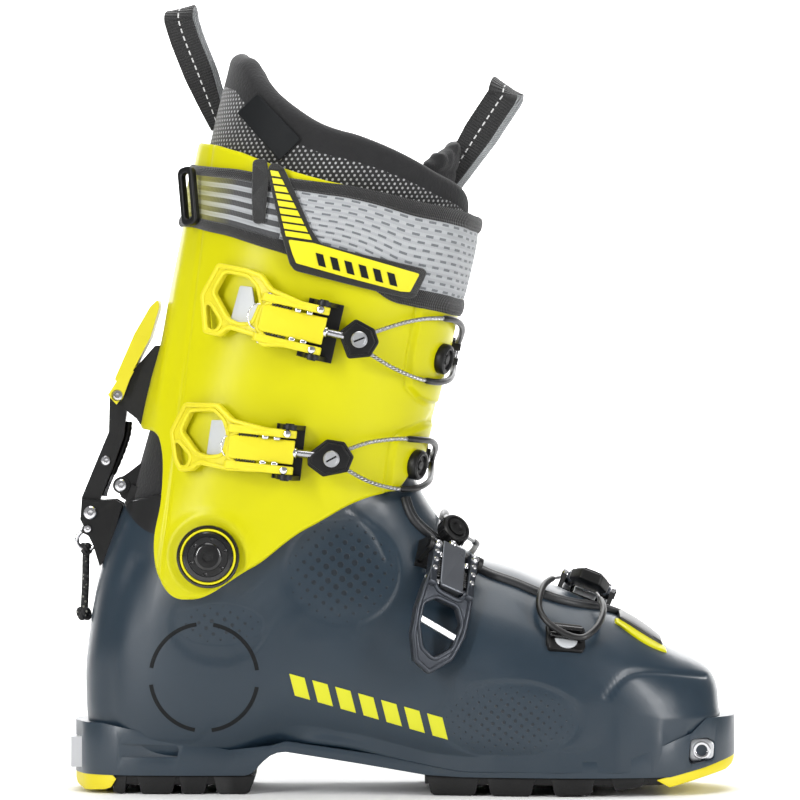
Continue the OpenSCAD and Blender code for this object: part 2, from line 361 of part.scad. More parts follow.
module toe_catch() color(BLK) at(lpt(6.1, -46, 0), [0.2, -0.76, 0.62], [0, 0.6, 0.8]) { translate([-15, -9, -3]) cube([15, 18, 4.2]); translate([-9, -6, 0]) cube([3, 12, 3.6]); }

lower_shell();
sole_frame();
footbed();
heel_sole();
forefoot_sole();
toe_bumper();
heel_bumper();
toe_fittings();
heel_fitting();
sole_screws();
instep_seal();
toe_plug();
spoiler();
lock_bracket();
liner_foot();
instep_base();
instep_catch();
toe_base();
toe_catch();
pivot_hubs();
pivot_rings();
pivot_bolts();
pull_ring();
pull_cord();
cord_knots();
cuff();
pivot_bushes();
cuff_bracket();
top_pin();
upper_base();
lower_base();
upper_catch();
lower_catch();
power_strap();
strap_patch();
strap_loop();
liner_collar();
tongue();
rear_loop();
front_loop();
lock_link();
release_wire();
walk_lever();
upper_lever();
upper_block();
upper_head();
upper_cable();
lower_lever();
lower_block();
lower_head();
lower_cable();
instep_lever();
instep_block();
instep_head();
instep_cable();
toe_lever();
toe_block();
toe_head();
toe_cable();
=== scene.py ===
import bpy, bmesh, math
import numpy as np
from mathutils import Vector, Matrix
from mathutils.bvhtree import BVHTree

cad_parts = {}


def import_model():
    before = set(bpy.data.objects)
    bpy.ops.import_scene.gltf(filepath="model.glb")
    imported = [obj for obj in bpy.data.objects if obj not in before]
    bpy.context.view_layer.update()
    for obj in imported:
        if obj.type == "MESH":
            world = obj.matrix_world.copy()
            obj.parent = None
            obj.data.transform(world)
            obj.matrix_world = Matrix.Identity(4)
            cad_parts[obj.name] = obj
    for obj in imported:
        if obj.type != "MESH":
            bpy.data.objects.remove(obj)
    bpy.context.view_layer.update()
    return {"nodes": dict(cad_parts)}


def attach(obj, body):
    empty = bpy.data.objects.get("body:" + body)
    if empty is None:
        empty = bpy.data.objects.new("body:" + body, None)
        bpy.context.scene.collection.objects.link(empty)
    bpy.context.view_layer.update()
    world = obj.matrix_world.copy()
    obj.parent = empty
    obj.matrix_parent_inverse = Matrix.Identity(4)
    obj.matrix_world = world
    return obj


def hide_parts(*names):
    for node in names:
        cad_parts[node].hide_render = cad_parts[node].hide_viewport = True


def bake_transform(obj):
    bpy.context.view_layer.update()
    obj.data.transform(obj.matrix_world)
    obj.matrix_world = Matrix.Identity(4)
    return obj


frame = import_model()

NODES = frame["nodes"]
col = bpy.context.scene.collection

# ------------------------------------------------------------------ camera, light, floor
cam_d = bpy.data.cameras.new("cam"); cam = bpy.data.objects.new("cam", cam_d); col.objects.link(cam)
cam_d.lens = 250; cam_d.sensor_width = 36
cam.location = (-0.0023, -2.556, 0.212)
cam.rotation_euler = (Vector((-0.0023, 0, 0.1785)) - cam.location).to_track_quat("-Z", "Y").to_euler()
bpy.context.scene.camera = cam
bpy.context.scene.view_settings.view_transform = "Standard"
W = bpy.data.worlds.new("studio"); bpy.context.scene.world = W; W.use_nodes = True
W.node_tree.nodes["Background"].inputs[0].default_value = (1, 1, 1, 1)
W.node_tree.nodes["Background"].inputs[1].default_value = 0.30


def area(name, loc, aim, size, power, sy=None):
    d = bpy.data.lights.new(name, "AREA"); d.energy = power; d.size = size
    if sy: d.shape = "RECTANGLE"; d.size_y = sy
    o = bpy.data.objects.new(name, d); col.objects.link(o); o.location = loc
    o.rotation_euler = (Vector(aim) - Vector(loc)).to_track_quat("-Z", "Y").to_euler()


area("key_left", (-0.95, -1.25, 0.62), (0, 0, 0.17), 0.20, 15, 0.9)
area("key_right", (1.15, -1.0, 0.55), (0, 0, 0.16), 0.26, 12, 0.9)
area("top", (0, -0.35, 1.5), (0, 0, 0.15), 0.8, 8)
area("back", (0.2, 1.2, 0.9), (0, 0, 0.2), 0.8, 3)
area("wall_left", (-1.5, 2.2, 1.3), (-0.2, 3.6, 0.5), 1.2, 75, 1.8)
area("wall_right", (1.5, 2.2, 1.3), (0.2, 3.6, 0.5), 1.2, 75, 1.8)
area("floor_wash", (0, 1.2, 2.4), (0, 1.3, 0), 2.2, 62)

# seamless pale paper: floor that sweeps up into the wall behind
sweep = [(-3.2, 0.0), (0, 0.0), (1.5, 0.0), (2.6, 0.0)] + [(2.6 + 1.1 * math.sin(t), 1.1 - 1.1 * math.cos(t)) for t in np.linspace(0.08, math.pi / 2, 14)] + [(3.7, 3.4)]
me = bpy.data.meshes.new("paper"); vs = [(x, y, z - 0.0002) for x in (-4, 4) for y, z in sweep]; k = len(sweep)
me.from_pydata(vs, [], [(i, i + 1, k + i + 1, k + i) for i in range(k - 1)]); me.polygons.foreach_set("use_smooth", [True] * (k - 1))
paper = bpy.data.objects.new("paper_floor", me); col.objects.link(paper)

# ------------------------------------------------------------------ materials
def node_mat(name, color, rough=0.4, metal=0.0, grain=0.0, gscale=900, var=0.06, coat=0.0, spec=0.5, big=0.0, rvar=0.06, sheen=0.0, wear=0.0):
    m = bpy.data.materials.new(name); m.use_nodes = True
    nt = m.node_tree; N = nt.nodes; L = nt.links; b = N["Principled BSDF"]
    b.inputs["Metallic"].default_value = metal
    b.inputs["Specular IOR Level"].default_value = spec
    b.inputs["Coat Weight"].default_value = coat
    b.inputs["Coat Roughness"].default_value = 0.12
    if sheen: b.inputs["Sheen Weight"].default_value = sheen; b.inputs["Sheen Roughness"].default_value = 0.5
    tc = N.new("ShaderNodeTexCoord")
    n1 = N.new("ShaderNodeTexNoise"); n1.inputs["Scale"].default_value = 38; n1.inputs["Detail"].default_value = 4
    L.new(tc.outputs["Object"], n1.inputs["Vector"])
    mix = N.new("ShaderNodeMix"); mix.data_type = "RGBA"
    c = np.array(color)
    mix.inputs[6].default_value = (*np.clip(c * (1 - var), 0, 1), 1); mix.inputs[7].default_value = (*np.clip(c * (1 + var), 0, 1), 1)
    L.new(n1.outputs["Fac"], mix.inputs[0])
    out = mix.outputs[2]
    if wear:
        g = N.new("ShaderNodeNewGeometry"); r = N.new("ShaderNodeValToRGB")
        r.color_ramp.elements[0].position = 0.53; r.color_ramp.elements[1].position = 0.62
        L.new(g.outputs["Pointiness"], r.inputs[0])
        mx = N.new("ShaderNodeMix"); mx.data_type = "RGBA"; mm_ = N.new("ShaderNodeMath"); mm_.operation = "MULTIPLY"; mm_.inputs[1].default_value = wear
        L.new(r.outputs[0], mm_.inputs[0]); L.new(mm_.outputs[0], mx.inputs[0]); L.new(out, mx.inputs[6])
        mx.inputs[7].default_value = (*np.clip(c * 1.5 + 0.05, 0, 1), 1); out = mx.outputs[2]
    L.new(out, b.inputs["Base Color"])
    rr = N.new("ShaderNodeMapRange"); rr.inputs[3].default_value = max(0.02, rough - rvar); rr.inputs[4].default_value = rough + rvar
    n2 = N.new("ShaderNodeTexNoise"); n2.inputs["Scale"].default_value = 160; n2.inputs["Detail"].default_value = 5
    L.new(tc.outputs["Object"], n2.inputs["Vector"]); L.new(n2.outputs["Fac"], rr.inputs[0]); L.new(rr.outputs[0], b.inputs["Roughness"])
    if grain:
        n3 = N.new("ShaderNodeTexNoise"); n3.inputs["Scale"].default_value = gscale; n3.inputs["Detail"].default_value = 3
        L.new(tc.outputs["Object"], n3.inputs["Vector"])
        bp = N.new("ShaderNodeBump"); bp.inputs["Strength"].default_value = grain; bp.inputs["Distance"].default_value = 0.0004
        L.new(n3.outputs["Fac"], bp.inputs["Height"]); L.new(bp.outputs[0], b.inputs["Normal"])
    return m


def bsdf(m): return m.node_tree.nodes["Principled BSDF"]


def add_bump(m, height_socket, strength=0.5, dist=0.0004):
    nt = m.node_tree; b = bsdf(m)
    bp = nt.nodes.new("ShaderNodeBump"); bp.inputs["Strength"].default_value = strength; bp.inputs["Distance"].default_value = dist
    nt.links.new(height_socket, bp.inputs["Height"])
    if b.inputs["Normal"].is_linked: nt.links.new(b.inputs["Normal"].links[0].from_socket, bp.inputs["Normal"])
    nt.links.new(bp.outputs[0], b.inputs["Normal"])


def mask_color(m, fac_socket, color):
    nt = m.node_tree; b = bsdf(m); src = b.inputs["Base Color"].links[0].from_socket
    mx = nt.nodes.new("ShaderNodeMix"); mx.data_type = "RGBA"
    nt.links.new(fac_socket, mx.inputs[0]); nt.links.new(src, mx.inputs[6]); mx.inputs[7].default_value = (*color, 1)
    nt.links.new(mx.outputs[2], b.inputs["Base Color"])


def mth(m, op, a, b=None, c=None, clamp=False):
    n = m.node_tree.nodes.new("ShaderNodeMath"); n.operation = op; n.use_clamp = clamp
    for i, v in enumerate((a, b, c)):
        if v is None: continue
        if isinstance(v, (int, float)): n.inputs[i].default_value = v
        else: m.node_tree.links.new(v, n.inputs[i])
    return n.outputs[0]


def coords(m, kind="Object"):
    tc = m.node_tree.nodes.new("ShaderNodeTexCoord"); s = m.node_tree.nodes.new("ShaderNodeSeparateXYZ")
    m.node_tree.links.new(tc.outputs[kind], s.inputs[0]); return s.outputs


YELLOW = (0.56, 0.535, 0.001)
M = {}
M["cuff"] = node_mat("cuff_plastic", YELLOW, 0.33, grain=0.05, gscale=700, var=0.03, coat=0.0, spec=0.22)
M["navy"] = node_mat("shell_plastic", (0.0105, 0.023, 0.037), 0.36, grain=0.06, gscale=900, var=0.12, coat=0.1, spec=0.5)
M["frame"] = node_mat("sole_frame_plastic", (0.0105, 0.023, 0.037), 0.36, grain=0.08, gscale=900, var=0.12, coat=0.1, spec=0.5, wear=0.12)
M["black"] = node_mat("black_plastic", (0.00450, 0.00450, 0.00475), 0.38, grain=0.18, gscale=1600, var=0.2, wear=0.15, spec=0.3)
M["blackgloss"] = node_mat("black_gloss", (0.005, 0.005, 0.0055), 0.2, grain=0.04, var=0.2, coat=0.4)
M["rubber"] = node_mat("sole_rubber", (0.00500, 0.00500, 0.00525), 0.6, grain=0.35, gscale=1500, var=0.3, wear=0.3, spec=0.25)
M["yrub"] = node_mat("yellow_rubber", (0.72, 0.60, 0.004), 0.5, grain=0.2, gscale=1200, var=0.05)
M["chrome"] = node_mat("polished_steel", (0.72, 0.72, 0.74), 0.16, metal=1.0, grain=0.05, gscale=1500, var=0.05)
M["alloy"] = node_mat("machined_alloy", (0.62, 0.63, 0.65), 0.3, metal=1.0, grain=0.2, gscale=1500, var=0.06)
M["ylev"] = node_mat("lever_paint", (0.66, 0.585, 0.022), 0.36, grain=0.12, gscale=1400, var=0.05, coat=0.0, spec=0.25, wear=0.12)
M["blev"] = node_mat("lever_black", (0.035, 0.04, 0.05), 0.33, metal=0.55, grain=0.15, gscale=1400, var=0.12, wear=0.5)
M["grey"] = node_mat("grey_metal", (0.16, 0.17, 0.19), 0.3, metal=0.8, grain=0.2, gscale=1300, var=0.1, wear=0.3)
M["grey2"] = node_mat("plug_plastic", (0.03, 0.031, 0.034), 0.4, grain=0.15, var=0.12, wear=0.1)
M["seal"] = node_mat("seal_rubber", (0.010, 0.011, 0.013), 0.42, grain=0.2, gscale=1400, var=0.2)
M["patchy"] = node_mat("patch_rubber", (0.68, 0.62, 0.01), 0.45, grain=0.15, gscale=1600, var=0.04, spec=0.3)
M["white"] = node_mat("white_label", (0.50, 0.52, 0.54), 0.35, grain=0.1, var=0.03)
M["decal"] = node_mat("yellow_ink", (0.60, 0.60, 0.01), 0.4, grain=0.1, var=0.05)
M["decalk"] = node_mat("dark_ink", (0.008, 0.009, 0.010), 0.6, grain=0.1, var=0.1, spec=0.15)
M["foam"] = node_mat("liner_inside", (0.020, 0.020, 0.023), 0.85, grain=0.6, gscale=900, var=0.3, sheen=0.3)
M["felt"] = node_mat("insole_felt", (0.05, 0.05, 0.055), 0.9, grain=0.7, gscale=1100, var=0.3, sheen=0.3)
M["floor"] = node_mat("floor_paint", (0.87, 0.87, 0.87), 0.75, grain=0.02, var=0.01, spec=0.1)
paper.data.materials.append(M["floor"])

# dimple fields on the lower shell
m = M["navy"]; X, Y_, Z = coords(m)
cmb = m.node_tree.nodes.new("ShaderNodeCombineXYZ"); m.node_tree.links.new(X, cmb.inputs[0]); m.node_tree.links.new(Z, cmb.inputs[1])


def field(cx, cz, rx, rz, pitch, dot, m=m):
    v = m.node_tree.nodes.new("ShaderNodeTexVoronoi"); v.voronoi_dimensions = "2D"; v.inputs["Scale"].default_value = 1 / pitch; v.inputs["Randomness"].default_value = 0.0
    rot = m.node_tree.nodes.new("ShaderNodeMapping"); rot.inputs["Rotation"].default_value = (0, 0, math.radians(38)); m.node_tree.links.new(cmb.outputs[0], rot.inputs[0]); m.node_tree.links.new(rot.outputs[0], v.inputs["Vector"])
    dx = mth(m, "DIVIDE", mth(m, "SUBTRACT", X, cx), rx); dz = mth(m, "DIVIDE", mth(m, "SUBTRACT", Z, cz), rz)
    rr = mth(m, "ADD", mth(m, "MULTIPLY", dx, dx), mth(m, "MULTIPLY", dz, dz))
    inside = mth(m, "LESS_THAN", rr, 1.0)
    size = mth(m, "MULTIPLY", mth(m, "SUBTRACT", 1.12, rr), dot)
    e = mth(m, "DIVIDE", mth(m, "SUBTRACT", size, v.outputs["Distance"]), 0.06)
    dotm = mth(m, "MULTIPLY", mth(m, "ADD", e, 0.0, clamp=True), inside)
    edge = mth(m, "ADD", mth(m, "MULTIPLY", mth(m, "SUBTRACT", 1.0, rr), 7.0), 0.0, clamp=True)
    return dotm, edge


fields = [field(-0.0285, 0.1015, 0.027, 0.0255, 0.0046, 0.30), field(0.047, 0.0345, 0.034, 0.0185, 0.0036, 0.23), field(-0.084, 0.0775, 0.021, 0.010, 0.0042, 0.22)]
dots = fields[0][0]; edges = fields[0][1]
for d_, e_ in fields[1:]:
    dots = mth(m, "MAXIMUM", dots, d_); edges = mth(m, "MAXIMUM", edges, e_)
mask_color(m, mth(m, "MULTIPLY", edges, 0.25), (0.013, 0.027, 0.042))
# painted shade: the dimple dots are darkened almost to black as if shaded inside their recesses
mask_color(m, mth(m, "MULTIPLY", dots, 0.7), (0.002, 0.004, 0.007))
back_ = mth(m, "MAXIMUM", mth(m, "SUBTRACT", -0.112, X), 0.0)
above = mth(m, "SUBTRACT", mth(m, "SUBTRACT", Z, 0.118), mth(m, "MULTIPLY", mth(m, "MULTIPLY", back_, back_), 45.0))
mask_color(m, mth(m, "MULTIPLY", mth(m, "ADD", mth(m, "MULTIPLY", above, 4000.0), 0.0, clamp=True), mth(m, "LESS_THAN", X, -0.080)), (0.006, 0.006, 0.0065))
add_bump(m, mth(m, "MULTIPLY", mth(m, "ADD", dots, mth(m, "MULTIPLY", edges, 0.2)), -1.0), 0.6, 0.0005)

# woven power strap: u along, v across, both in metres
m = M["strap"] = node_mat("strap_webbing", (0.40, 0.415, 0.43), 0.75, grain=0.3, gscale=2200, var=0.06, sheen=0.2)
U, V, _ = coords(m, "UV")
rib = mth(m, "SINE", mth(m, "MULTIPLY", V, 2 * math.pi / 0.0026))
ribs = mth(m, "GREATER_THAN", rib, 0.1)
thr = mth(m, "SINE", mth(m, "MULTIPLY", U, 2 * math.pi / 0.0009))
row = mth(m, "FLOOR", mth(m, "DIVIDE", V, 0.0029))
off = mth(m, "MULTIPLY", row, 0.0037)
dash = mth(m, "GREATER_THAN", mth(m, "SINE", mth(m, "MULTIPLY", mth(m, "ADD", U, off), 2 * math.pi / 0.0078)), -0.1)
lane = mth(m, "LESS_THAN", mth(m, "ABSOLUTE", mth(m, "SUBTRACT", mth(m, "FRACT", mth(m, "DIVIDE", V, 0.0029)), 0.5)), 0.17)
front = mth(m, "GREATER_THAN", U, 0.0)
dk = mth(m, "MULTIPLY", mth(m, "MULTIPLY", dash, lane), mth(m, "MULTIPLY", front, 0.8))
mask_color(m, mth(m, "MULTIPLY", ribs, 0.25), (0.19, 0.195, 0.205))
mask_color(m, dk, (0.075, 0.085, 0.095))
stripe = mth(m, "MULTIPLY", mth(m, "LESS_THAN", U, 0.0), mth(m, "LESS_THAN", mth(m, "FRACT", mth(m, "DIVIDE", V, 0.0062)), 0.52))
mask_color(m, mth(m, "MULTIPLY", stripe, 0.9), (0.02, 0.02, 0.022))
tint = mth(m, "MULTIPLY", mth(m, "SUBTRACT", mth(m, "DIVIDE", mth(m, "SUBTRACT", mth(m, "MULTIPLY", U, -1.0), 0.026), 0.03), 0.0, clamp=True), 0.8, clamp=True)
mask_color(m, tint, (0.40, 0.38, 0.02))
add_bump(m, mth(m, "ADD", rib, mth(m, "MULTIPLY", thr, 0.5)), 0.55, 0.0003)


def webbing(name, color, stitch=None, su=0.0, diag=False, c2=None):
    m = node_mat(name, color, 0.8, grain=0.4, gscale=2400, var=0.1, sheen=0.25)
    U, V, _ = coords(m, "UV")
    a = mth(m, "SINE", mth(m, "MULTIPLY", mth(m, "ADD", U, V) if diag else U, 2 * math.pi / 0.0013)); b = mth(m, "SINE", mth(m, "MULTIPLY", V, 2 * math.pi / 0.0011))
    add_bump(m, mth(m, "ADD", a, mth(m, "MULTIPLY", b, 0.6)), 0.6, 0.0003)
    mask_color(m, mth(m, "MULTIPLY", mth(m, "GREATER_THAN", a, 0.5), 0.35), tuple(np.array(color) * 1.9 + 0.01))
    if stitch:
        on = mth(m, "LESS_THAN", mth(m, "ABSOLUTE", mth(m, "SUBTRACT", V, su)), 0.00032)
        dsh = mth(m, "LESS_THAN", mth(m, "FRACT", mth(m, "DIVIDE", U, 0.0036)), 0.6)
        mask_color(m, mth(m, "MULTIPLY", on, dsh), stitch)
    return m


M["edge"] = webbing("strap_edge", (0.006, 0.006, 0.0065), diag=True)
M["loop"] = webbing("pull_loop_webbing", (0.0065, 0.0065, 0.007), (0.6, 0.6, 0.6), 0.0)
M["loopin"] = webbing("pull_loop_inner", (0.33, 0.34, 0.35), diag=True)

# liner mesh fabric: pale dots in rows on black
m = M["liner"] = node_mat("liner_mesh", (0.006, 0.006, 0.007), 0.85, grain=0.5, gscale=1800, var=0.2, sheen=0.3)
U, V, _ = coords(m, "UV")
cu = mth(m, "DIVIDE", U, 0.0030); cv = mth(m, "DIVIDE", V, 0.00185)
odd = mth(m, "MULTIPLY", mth(m, "FLOOR", mth(m, "MODULO", mth(m, "ADD", mth(m, "FLOOR", cv), 1000.0), 2.0)), 0.5)
fu = mth(m, "SUBTRACT", mth(m, "FRACT", mth(m, "ADD", cu, odd)), 0.5); fv = mth(m, "SUBTRACT", mth(m, "FRACT", cv), 0.5)
dd = mth(m, "ADD", mth(m, "MULTIPLY", fu, fu), mth(m, "MULTIPLY", mth(m, "MULTIPLY", fv, fv), 0.45))
dotv = mth(m, "ADD", mth(m, "DIVIDE", mth(m, "SUBTRACT", 0.050, dd), 0.02), 0.0, clamp=True)
big = m.node_tree.nodes.new("ShaderNodeTexNoise"); big.inputs["Scale"].default_value = 55
tcn = m.node_tree.nodes.new("ShaderNodeTexCoord"); m.node_tree.links.new(tcn.outputs["Object"], big.inputs["Vector"])
mask_color(m, mth(m, "MULTIPLY", dotv, mth(m, "ADD", mth(m, "MULTIPLY", big.outputs["Fac"], 0.6), 0.35)), (0.55, 0.55, 0.56))
add_bump(m, dotv, 0.6, 0.0004)
M["linerk"] = node_mat("liner_lining", (0.007, 0.007, 0.008), 0.9, grain=0.8, gscale=700, var=0.4, sheen=0.12)
m = M["tongue"] = node_mat("tongue_fabric", (0.008, 0.008, 0.009), 0.85, grain=0.7, gscale=900, var=0.3, sheen=0.12)

# cables
def cable_mat(name, color, metal, rough, pitch=0.0022):
    m = node_mat(name, color, rough, metal=metal, var=0.1)
    U, V, _ = coords(m, "UV")
    s = mth(m, "SINE", mth(m, "ADD", mth(m, "MULTIPLY", U, 2 * math.pi / pitch), mth(m, "MULTIPLY", V, 2 * math.pi * 3)))
    add_bump(m, s, 0.8, 0.0003); return m


M["cable"] = cable_mat("steel_cable", (0.45, 0.45, 0.46), 1.0, 0.3)
M["sleeve"] = node_mat("cable_sleeve", (0.00600, 0.00600, 0.00650), 0.35, var=0.2, grain=0.1)
m = M["cord"] = cable_mat("braided_cord", (0.014, 0.014, 0.015), 0.0, 0.8, 0.0026)
U, V, _ = coords(m, "UV")
vv = m.node_tree.nodes.new("ShaderNodeTexVoronoi"); vv.inputs["Scale"].default_value = 420
tcn = m.node_tree.nodes.new("ShaderNodeTexCoord"); m.node_tree.links.new(tcn.outputs["Object"], vv.inputs["Vector"])
mask_color(m, mth(m, "MULTIPLY", mth(m, "LESS_THAN", vv.outputs["Distance"], 0.22), 0.6), (0.35, 0.35, 0.3))

# ------------------------------------------------------------------ mesh helpers (mm in, metres out)
def unit(v): v = np.array(v, float); return v / np.linalg.norm(v)
def spow(v, e): return np.sign(v) * np.abs(v) ** e


def finish_obj(name, me, mat, body, rep=(), ang=35, smooth=True):
    o = bpy.data.objects.new(name, me); col.objects.link(o)
    for q in (mat if isinstance(mat, (list, tuple)) else [mat]): me.materials.append(q)
    if smooth:
        me.polygons.foreach_set("use_smooth", [True] * len(me.polygons))
        if ang < 180: me.set_sharp_from_angle(angle=math.radians(ang))
    if body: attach(o, body)
    if rep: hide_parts(*rep)
    return o


def obj(name, V, F, mat, body, rep=(), ang=35, uv=None, fix=True, mats=None):
    me = bpy.data.meshes.new(name); me.from_pydata((np.asarray(V) * 0.001).tolist(), [], [list(map(int, f)) for f in F]); me.update()
    if uv is not None:
        l = me.uv_layers.new(name="UVMap"); l.data.foreach_set("uv", np.asarray(uv, float).ravel())
    if fix:
        b = bmesh.new(); b.from_mesh(me); bmesh.ops.recalc_face_normals(b, faces=b.faces); b.to_mesh(me); b.free()
    if mats is not None: me.polygons.foreach_set("material_index", np.asarray(mats, np.int32))
    return finish_obj(name, me, mat, body, rep, ang)


def grid(P, cu=False, cv=False, caps=False, UV=None):
    """P (m, n, 3): faces of a grid, rows joined if cu, columns joined if cv."""
    P = np.asarray(P); m_, n_ = P.shape[:2]; F = []; uv = []
    for j in range(m_ if cu else m_ - 1):
        k = (j + 1) % m_
        for i in range(n_ if cv else n_ - 1):
            l = (i + 1) % n_
            F.append((j * n_ + i, j * n_ + l, k * n_ + l, k * n_ + i))
            if UV is not None:
                il = i + 1; kl = j + 1
                uv += [UV(j, i), UV(j, il), UV(kl, il), UV(kl, i)]
    if caps:
        F.append(tuple(range(n_ - 1, -1, -1))); F.append(tuple((m_ - 1) * n_ + i for i in range(n_)))
        if UV is not None: uv += [(0, 0)] * (2 * n_)
    return P.reshape(-1, 3), F, (uv if UV is not None else None)


def cat(T, t):
    T = np.asarray(T, float); n = len(T); c = min(max(t, 0), n - 1.00001); i = int(c); u = c - i
    a, b, d, e = T[max(i - 1, 0)], T[i], T[min(i + 1, n - 1)], T[min(i + 2, n - 1)]
    return 0.5 * (2 * b + (d - a) * u + (2 * a - 5 * b + 4 * d - e) * u * u + (3 * b - a - 3 * d + e) * u ** 3)


def smooth_path(P, k=8, closed=False):
    P = np.asarray(P, float)
    if closed: P = np.vstack([P[-1:], P, P[:2]]); return np.array([cat(P, 1 + i / k) for i in range((len(P) - 3) * k)])
    return np.array([cat(P, i / k) for i in range((len(P) - 1) * k + 1)])


def tube(name, path, r, mat, body, rep=(), sides=14, fine=True, uvs=True, profile=None):
    P = np.asarray(path, float); n = len(P); T = np.gradient(P, axis=0); T /= np.linalg.norm(T, axis=1, keepdims=True)
    up = np.array([0.13, 0.05, 1.0]); x = np.cross(up, T[0]); x /= np.linalg.norm(x); R = []
    s = np.r_[0, np.cumsum(np.linalg.norm(np.diff(P, axis=0), axis=1))] * 0.001
    for i in range(n):
        x = x - (x @ T[i]) * T[i]; x /= np.linalg.norm(x); y = np.cross(T[i], x)
        rr = r[i] if hasattr(r, "__len__") else r
        a = np.arange(sides) * 2 * np.pi / sides
        if profile is not None: q = profile * rr; R.append(P[i] + q[:, :1] * x + q[:, 1:] * y)
        else: R.append(P[i] + rr * (np.cos(a)[:, None] * x + np.sin(a)[:, None] * y))
    V, F, uv = grid(np.array(R), cv=True, caps=True, UV=lambda j, i: (s[min(j, n - 1)], i / sides))
    return obj(name, V, F, mat, body, rep, 60, uv)


def lathe(name, prof, p, ax, mat, body, rep=(), n=48, ang=35, xref=None):
    """prof [(r, h)] turned about ax at p."""
    z = unit(ax); x = unit(np.cross(z, (0.3, 0.2, 1.0) if abs(z[2]) < 0.9 else (1, 0, 0))); y = np.cross(z, x)
    a = np.arange(n) * 2 * np.pi / n; p = np.array(p, float)
    R = [[p + max(r, 1e-4) * (math.cos(t) * x + math.sin(t) * y) + h * z for t in a] for r, h in prof]
    V, F, _ = grid(np.array(R), cv=True, caps=True)
    return obj(name, V, F, mat, body, rep, ang)


def rnd(p, r, k=5):
    p = np.asarray(p, float); out = []; n = len(p)
    for i in range(n):
        q = p[i]; a = p[i - 1] - q; b = p[(i + 1) % n] - q; la, lb = np.linalg.norm(a), np.linalg.norm(b); ua, ub = a / la, b / lb
        h = math.acos(max(-1, min(1, float(ua @ ub)))) / 2; d = min(r / max(math.tan(h), 1e-3), 0.45 * min(la, lb))
        for j in range(k + 1):
            s = j / k; out.append(q + ua * d * (1 - s) ** 2 + ub * d * s * s)
    return np.array(out)


def plate_mesh(loops, z0, z1, bev=0.5, res=2):
    """2D loops (outer first, then holes) as a bevelled plate between z0 and z1, in mm."""
    cu = bpy.data.curves.new("tmp", "CURVE"); cu.dimensions = "2D"; cu.fill_mode = "BOTH"
    cu.extrude = (z1 - z0) / 2 - bev; cu.bevel_depth = bev; cu.bevel_resolution = res; cu.offset = -bev
    for lp in loops:
        sp = cu.splines.new("POLY"); sp.points.add(len(lp) - 1); sp.use_cyclic_u = True
        sp.points.foreach_set("co", np.c_[lp, np.zeros(len(lp)), np.ones(len(lp))].ravel())
    o = bpy.data.objects.new("tmp", cu); col.objects.link(o)
    bpy.context.view_layer.update(); dg = bpy.context.evaluated_depsgraph_get()
    me = bpy.data.meshes.new_from_object(o.evaluated_get(dg)); bpy.data.objects.remove(o); bpy.data.curves.remove(cu)
    b = bmesh.new(); b.from_mesh(me); bmesh.ops.remove_doubles(b, verts=b.verts, dist=1e-4)
    bmesh.ops.recalc_face_normals(b, faces=b.faces)
    for v in b.verts: v.co.z += (z0 + z1) / 2
    me.materials.clear(); b.to_mesh(me); b.free(); return me


def slice_x(me, xs, axis=0):
    b = bmesh.new(); b.from_mesh(me)
    for x in xs:
        no = [0, 0, 0]; no[axis] = 1; co = [0, 0, 0]; co[axis] = x
        bmesh.ops.bisect_plane(b, geom=b.verts[:] + b.edges[:] + b.faces[:], plane_co=co, plane_no=no)
    b.to_mesh(me); b.free()


def map_mesh(me, fn):
    n = len(me.vertices); c = np.empty(n * 3); me.vertices.foreach_get("co", c); c = fn(c.reshape(-1, 3)); me.vertices.foreach_set("co", np.asarray(c, float).ravel()); me.update()


def fr(f):
    p, n, d = f; z = unit(n); d = np.array(d, float); x = unit(d - (d @ z) * z); y = np.cross(z, x); return np.array(p, float), x, y, z


def to_frame(me, f):
    p, x, y, z = f; map_mesh(me, lambda c: (p + c[:, :1] * x + c[:, 1:2] * y + c[:, 2:] * z) * 0.001)


def loc(f, v): p, x, y, z = f; return p + v[0] * x + v[1] * y + v[2] * z


def plate(name, loops, z0, z1, f, mat, body, rep=(), bev=0.5, bend=None, res=2, ang=30):
    me = plate_mesh(loops, z0, z1, bev, res)
    if bend:
        slice_x(me, np.arange(-62, 6, 1.6)); R = bend
        map_mesh(me, lambda c: np.c_[(R + c[:, 2]) * np.sin(c[:, 0] / R), c[:, 1], (R + c[:, 2]) * np.cos(c[:, 0] / R) - R])
    to_frame(me, f); me.name = name
    return finish_obj(name, me, mat, body, rep, ang)


SIDE = (np.array([0., 0, 0]), np.array([1., 0, 0]), np.array([0., 0, 1]), np.array([0., -1, 0]))   # local x, y, z = X, Z, -Y
def rod(name, a, b, prof, mat, body, rep=(), n=24):
    a = np.array(a, float); b = np.array(b, float); L = np.linalg.norm(b - a)
    return lathe(name, [(r, h * L) for r, h in prof], a, b - a, mat, body, rep, n)


def pin(name, a, b, r, mat, body, rep=(), slot=None, n=28, c=0.35):
    L = np.linalg.norm(np.array(b, float) - np.array(a, float)); e = c / L
    return rod(name, a, b, [(r * 0.45, e * 1.0), (r * 0.55, 0), (r - c, 0), (r, e), (r, 1 - e), (r - c, 1), (r * 0.55, 1), (r * 0.45, 1 - e)], mat, body, rep, n)


def boolean(o, cutter, op="DIFFERENCE"):
    md = o.modifiers.new("b", "BOOLEAN"); md.operation = op; md.object = cutter; md.solver = "EXACT"
    dg = bpy.context.evaluated_depsgraph_get(); me = bpy.data.meshes.new_from_object(o.evaluated_get(dg)); o.modifiers.clear(); o.data = me
    bpy.data.objects.remove(cutter)


def raw(V, F):
    me = bpy.data.meshes.new("raw"); me.from_pydata((np.asarray(V) * 0.001).tolist(), [], F); b = bmesh.new(); b.from_mesh(me); bmesh.ops.recalc_face_normals(b, faces=b.faces); b.to_mesh(me); b.free()
    o = bpy.data.objects.new("raw", me); col.objects.link(o); return o


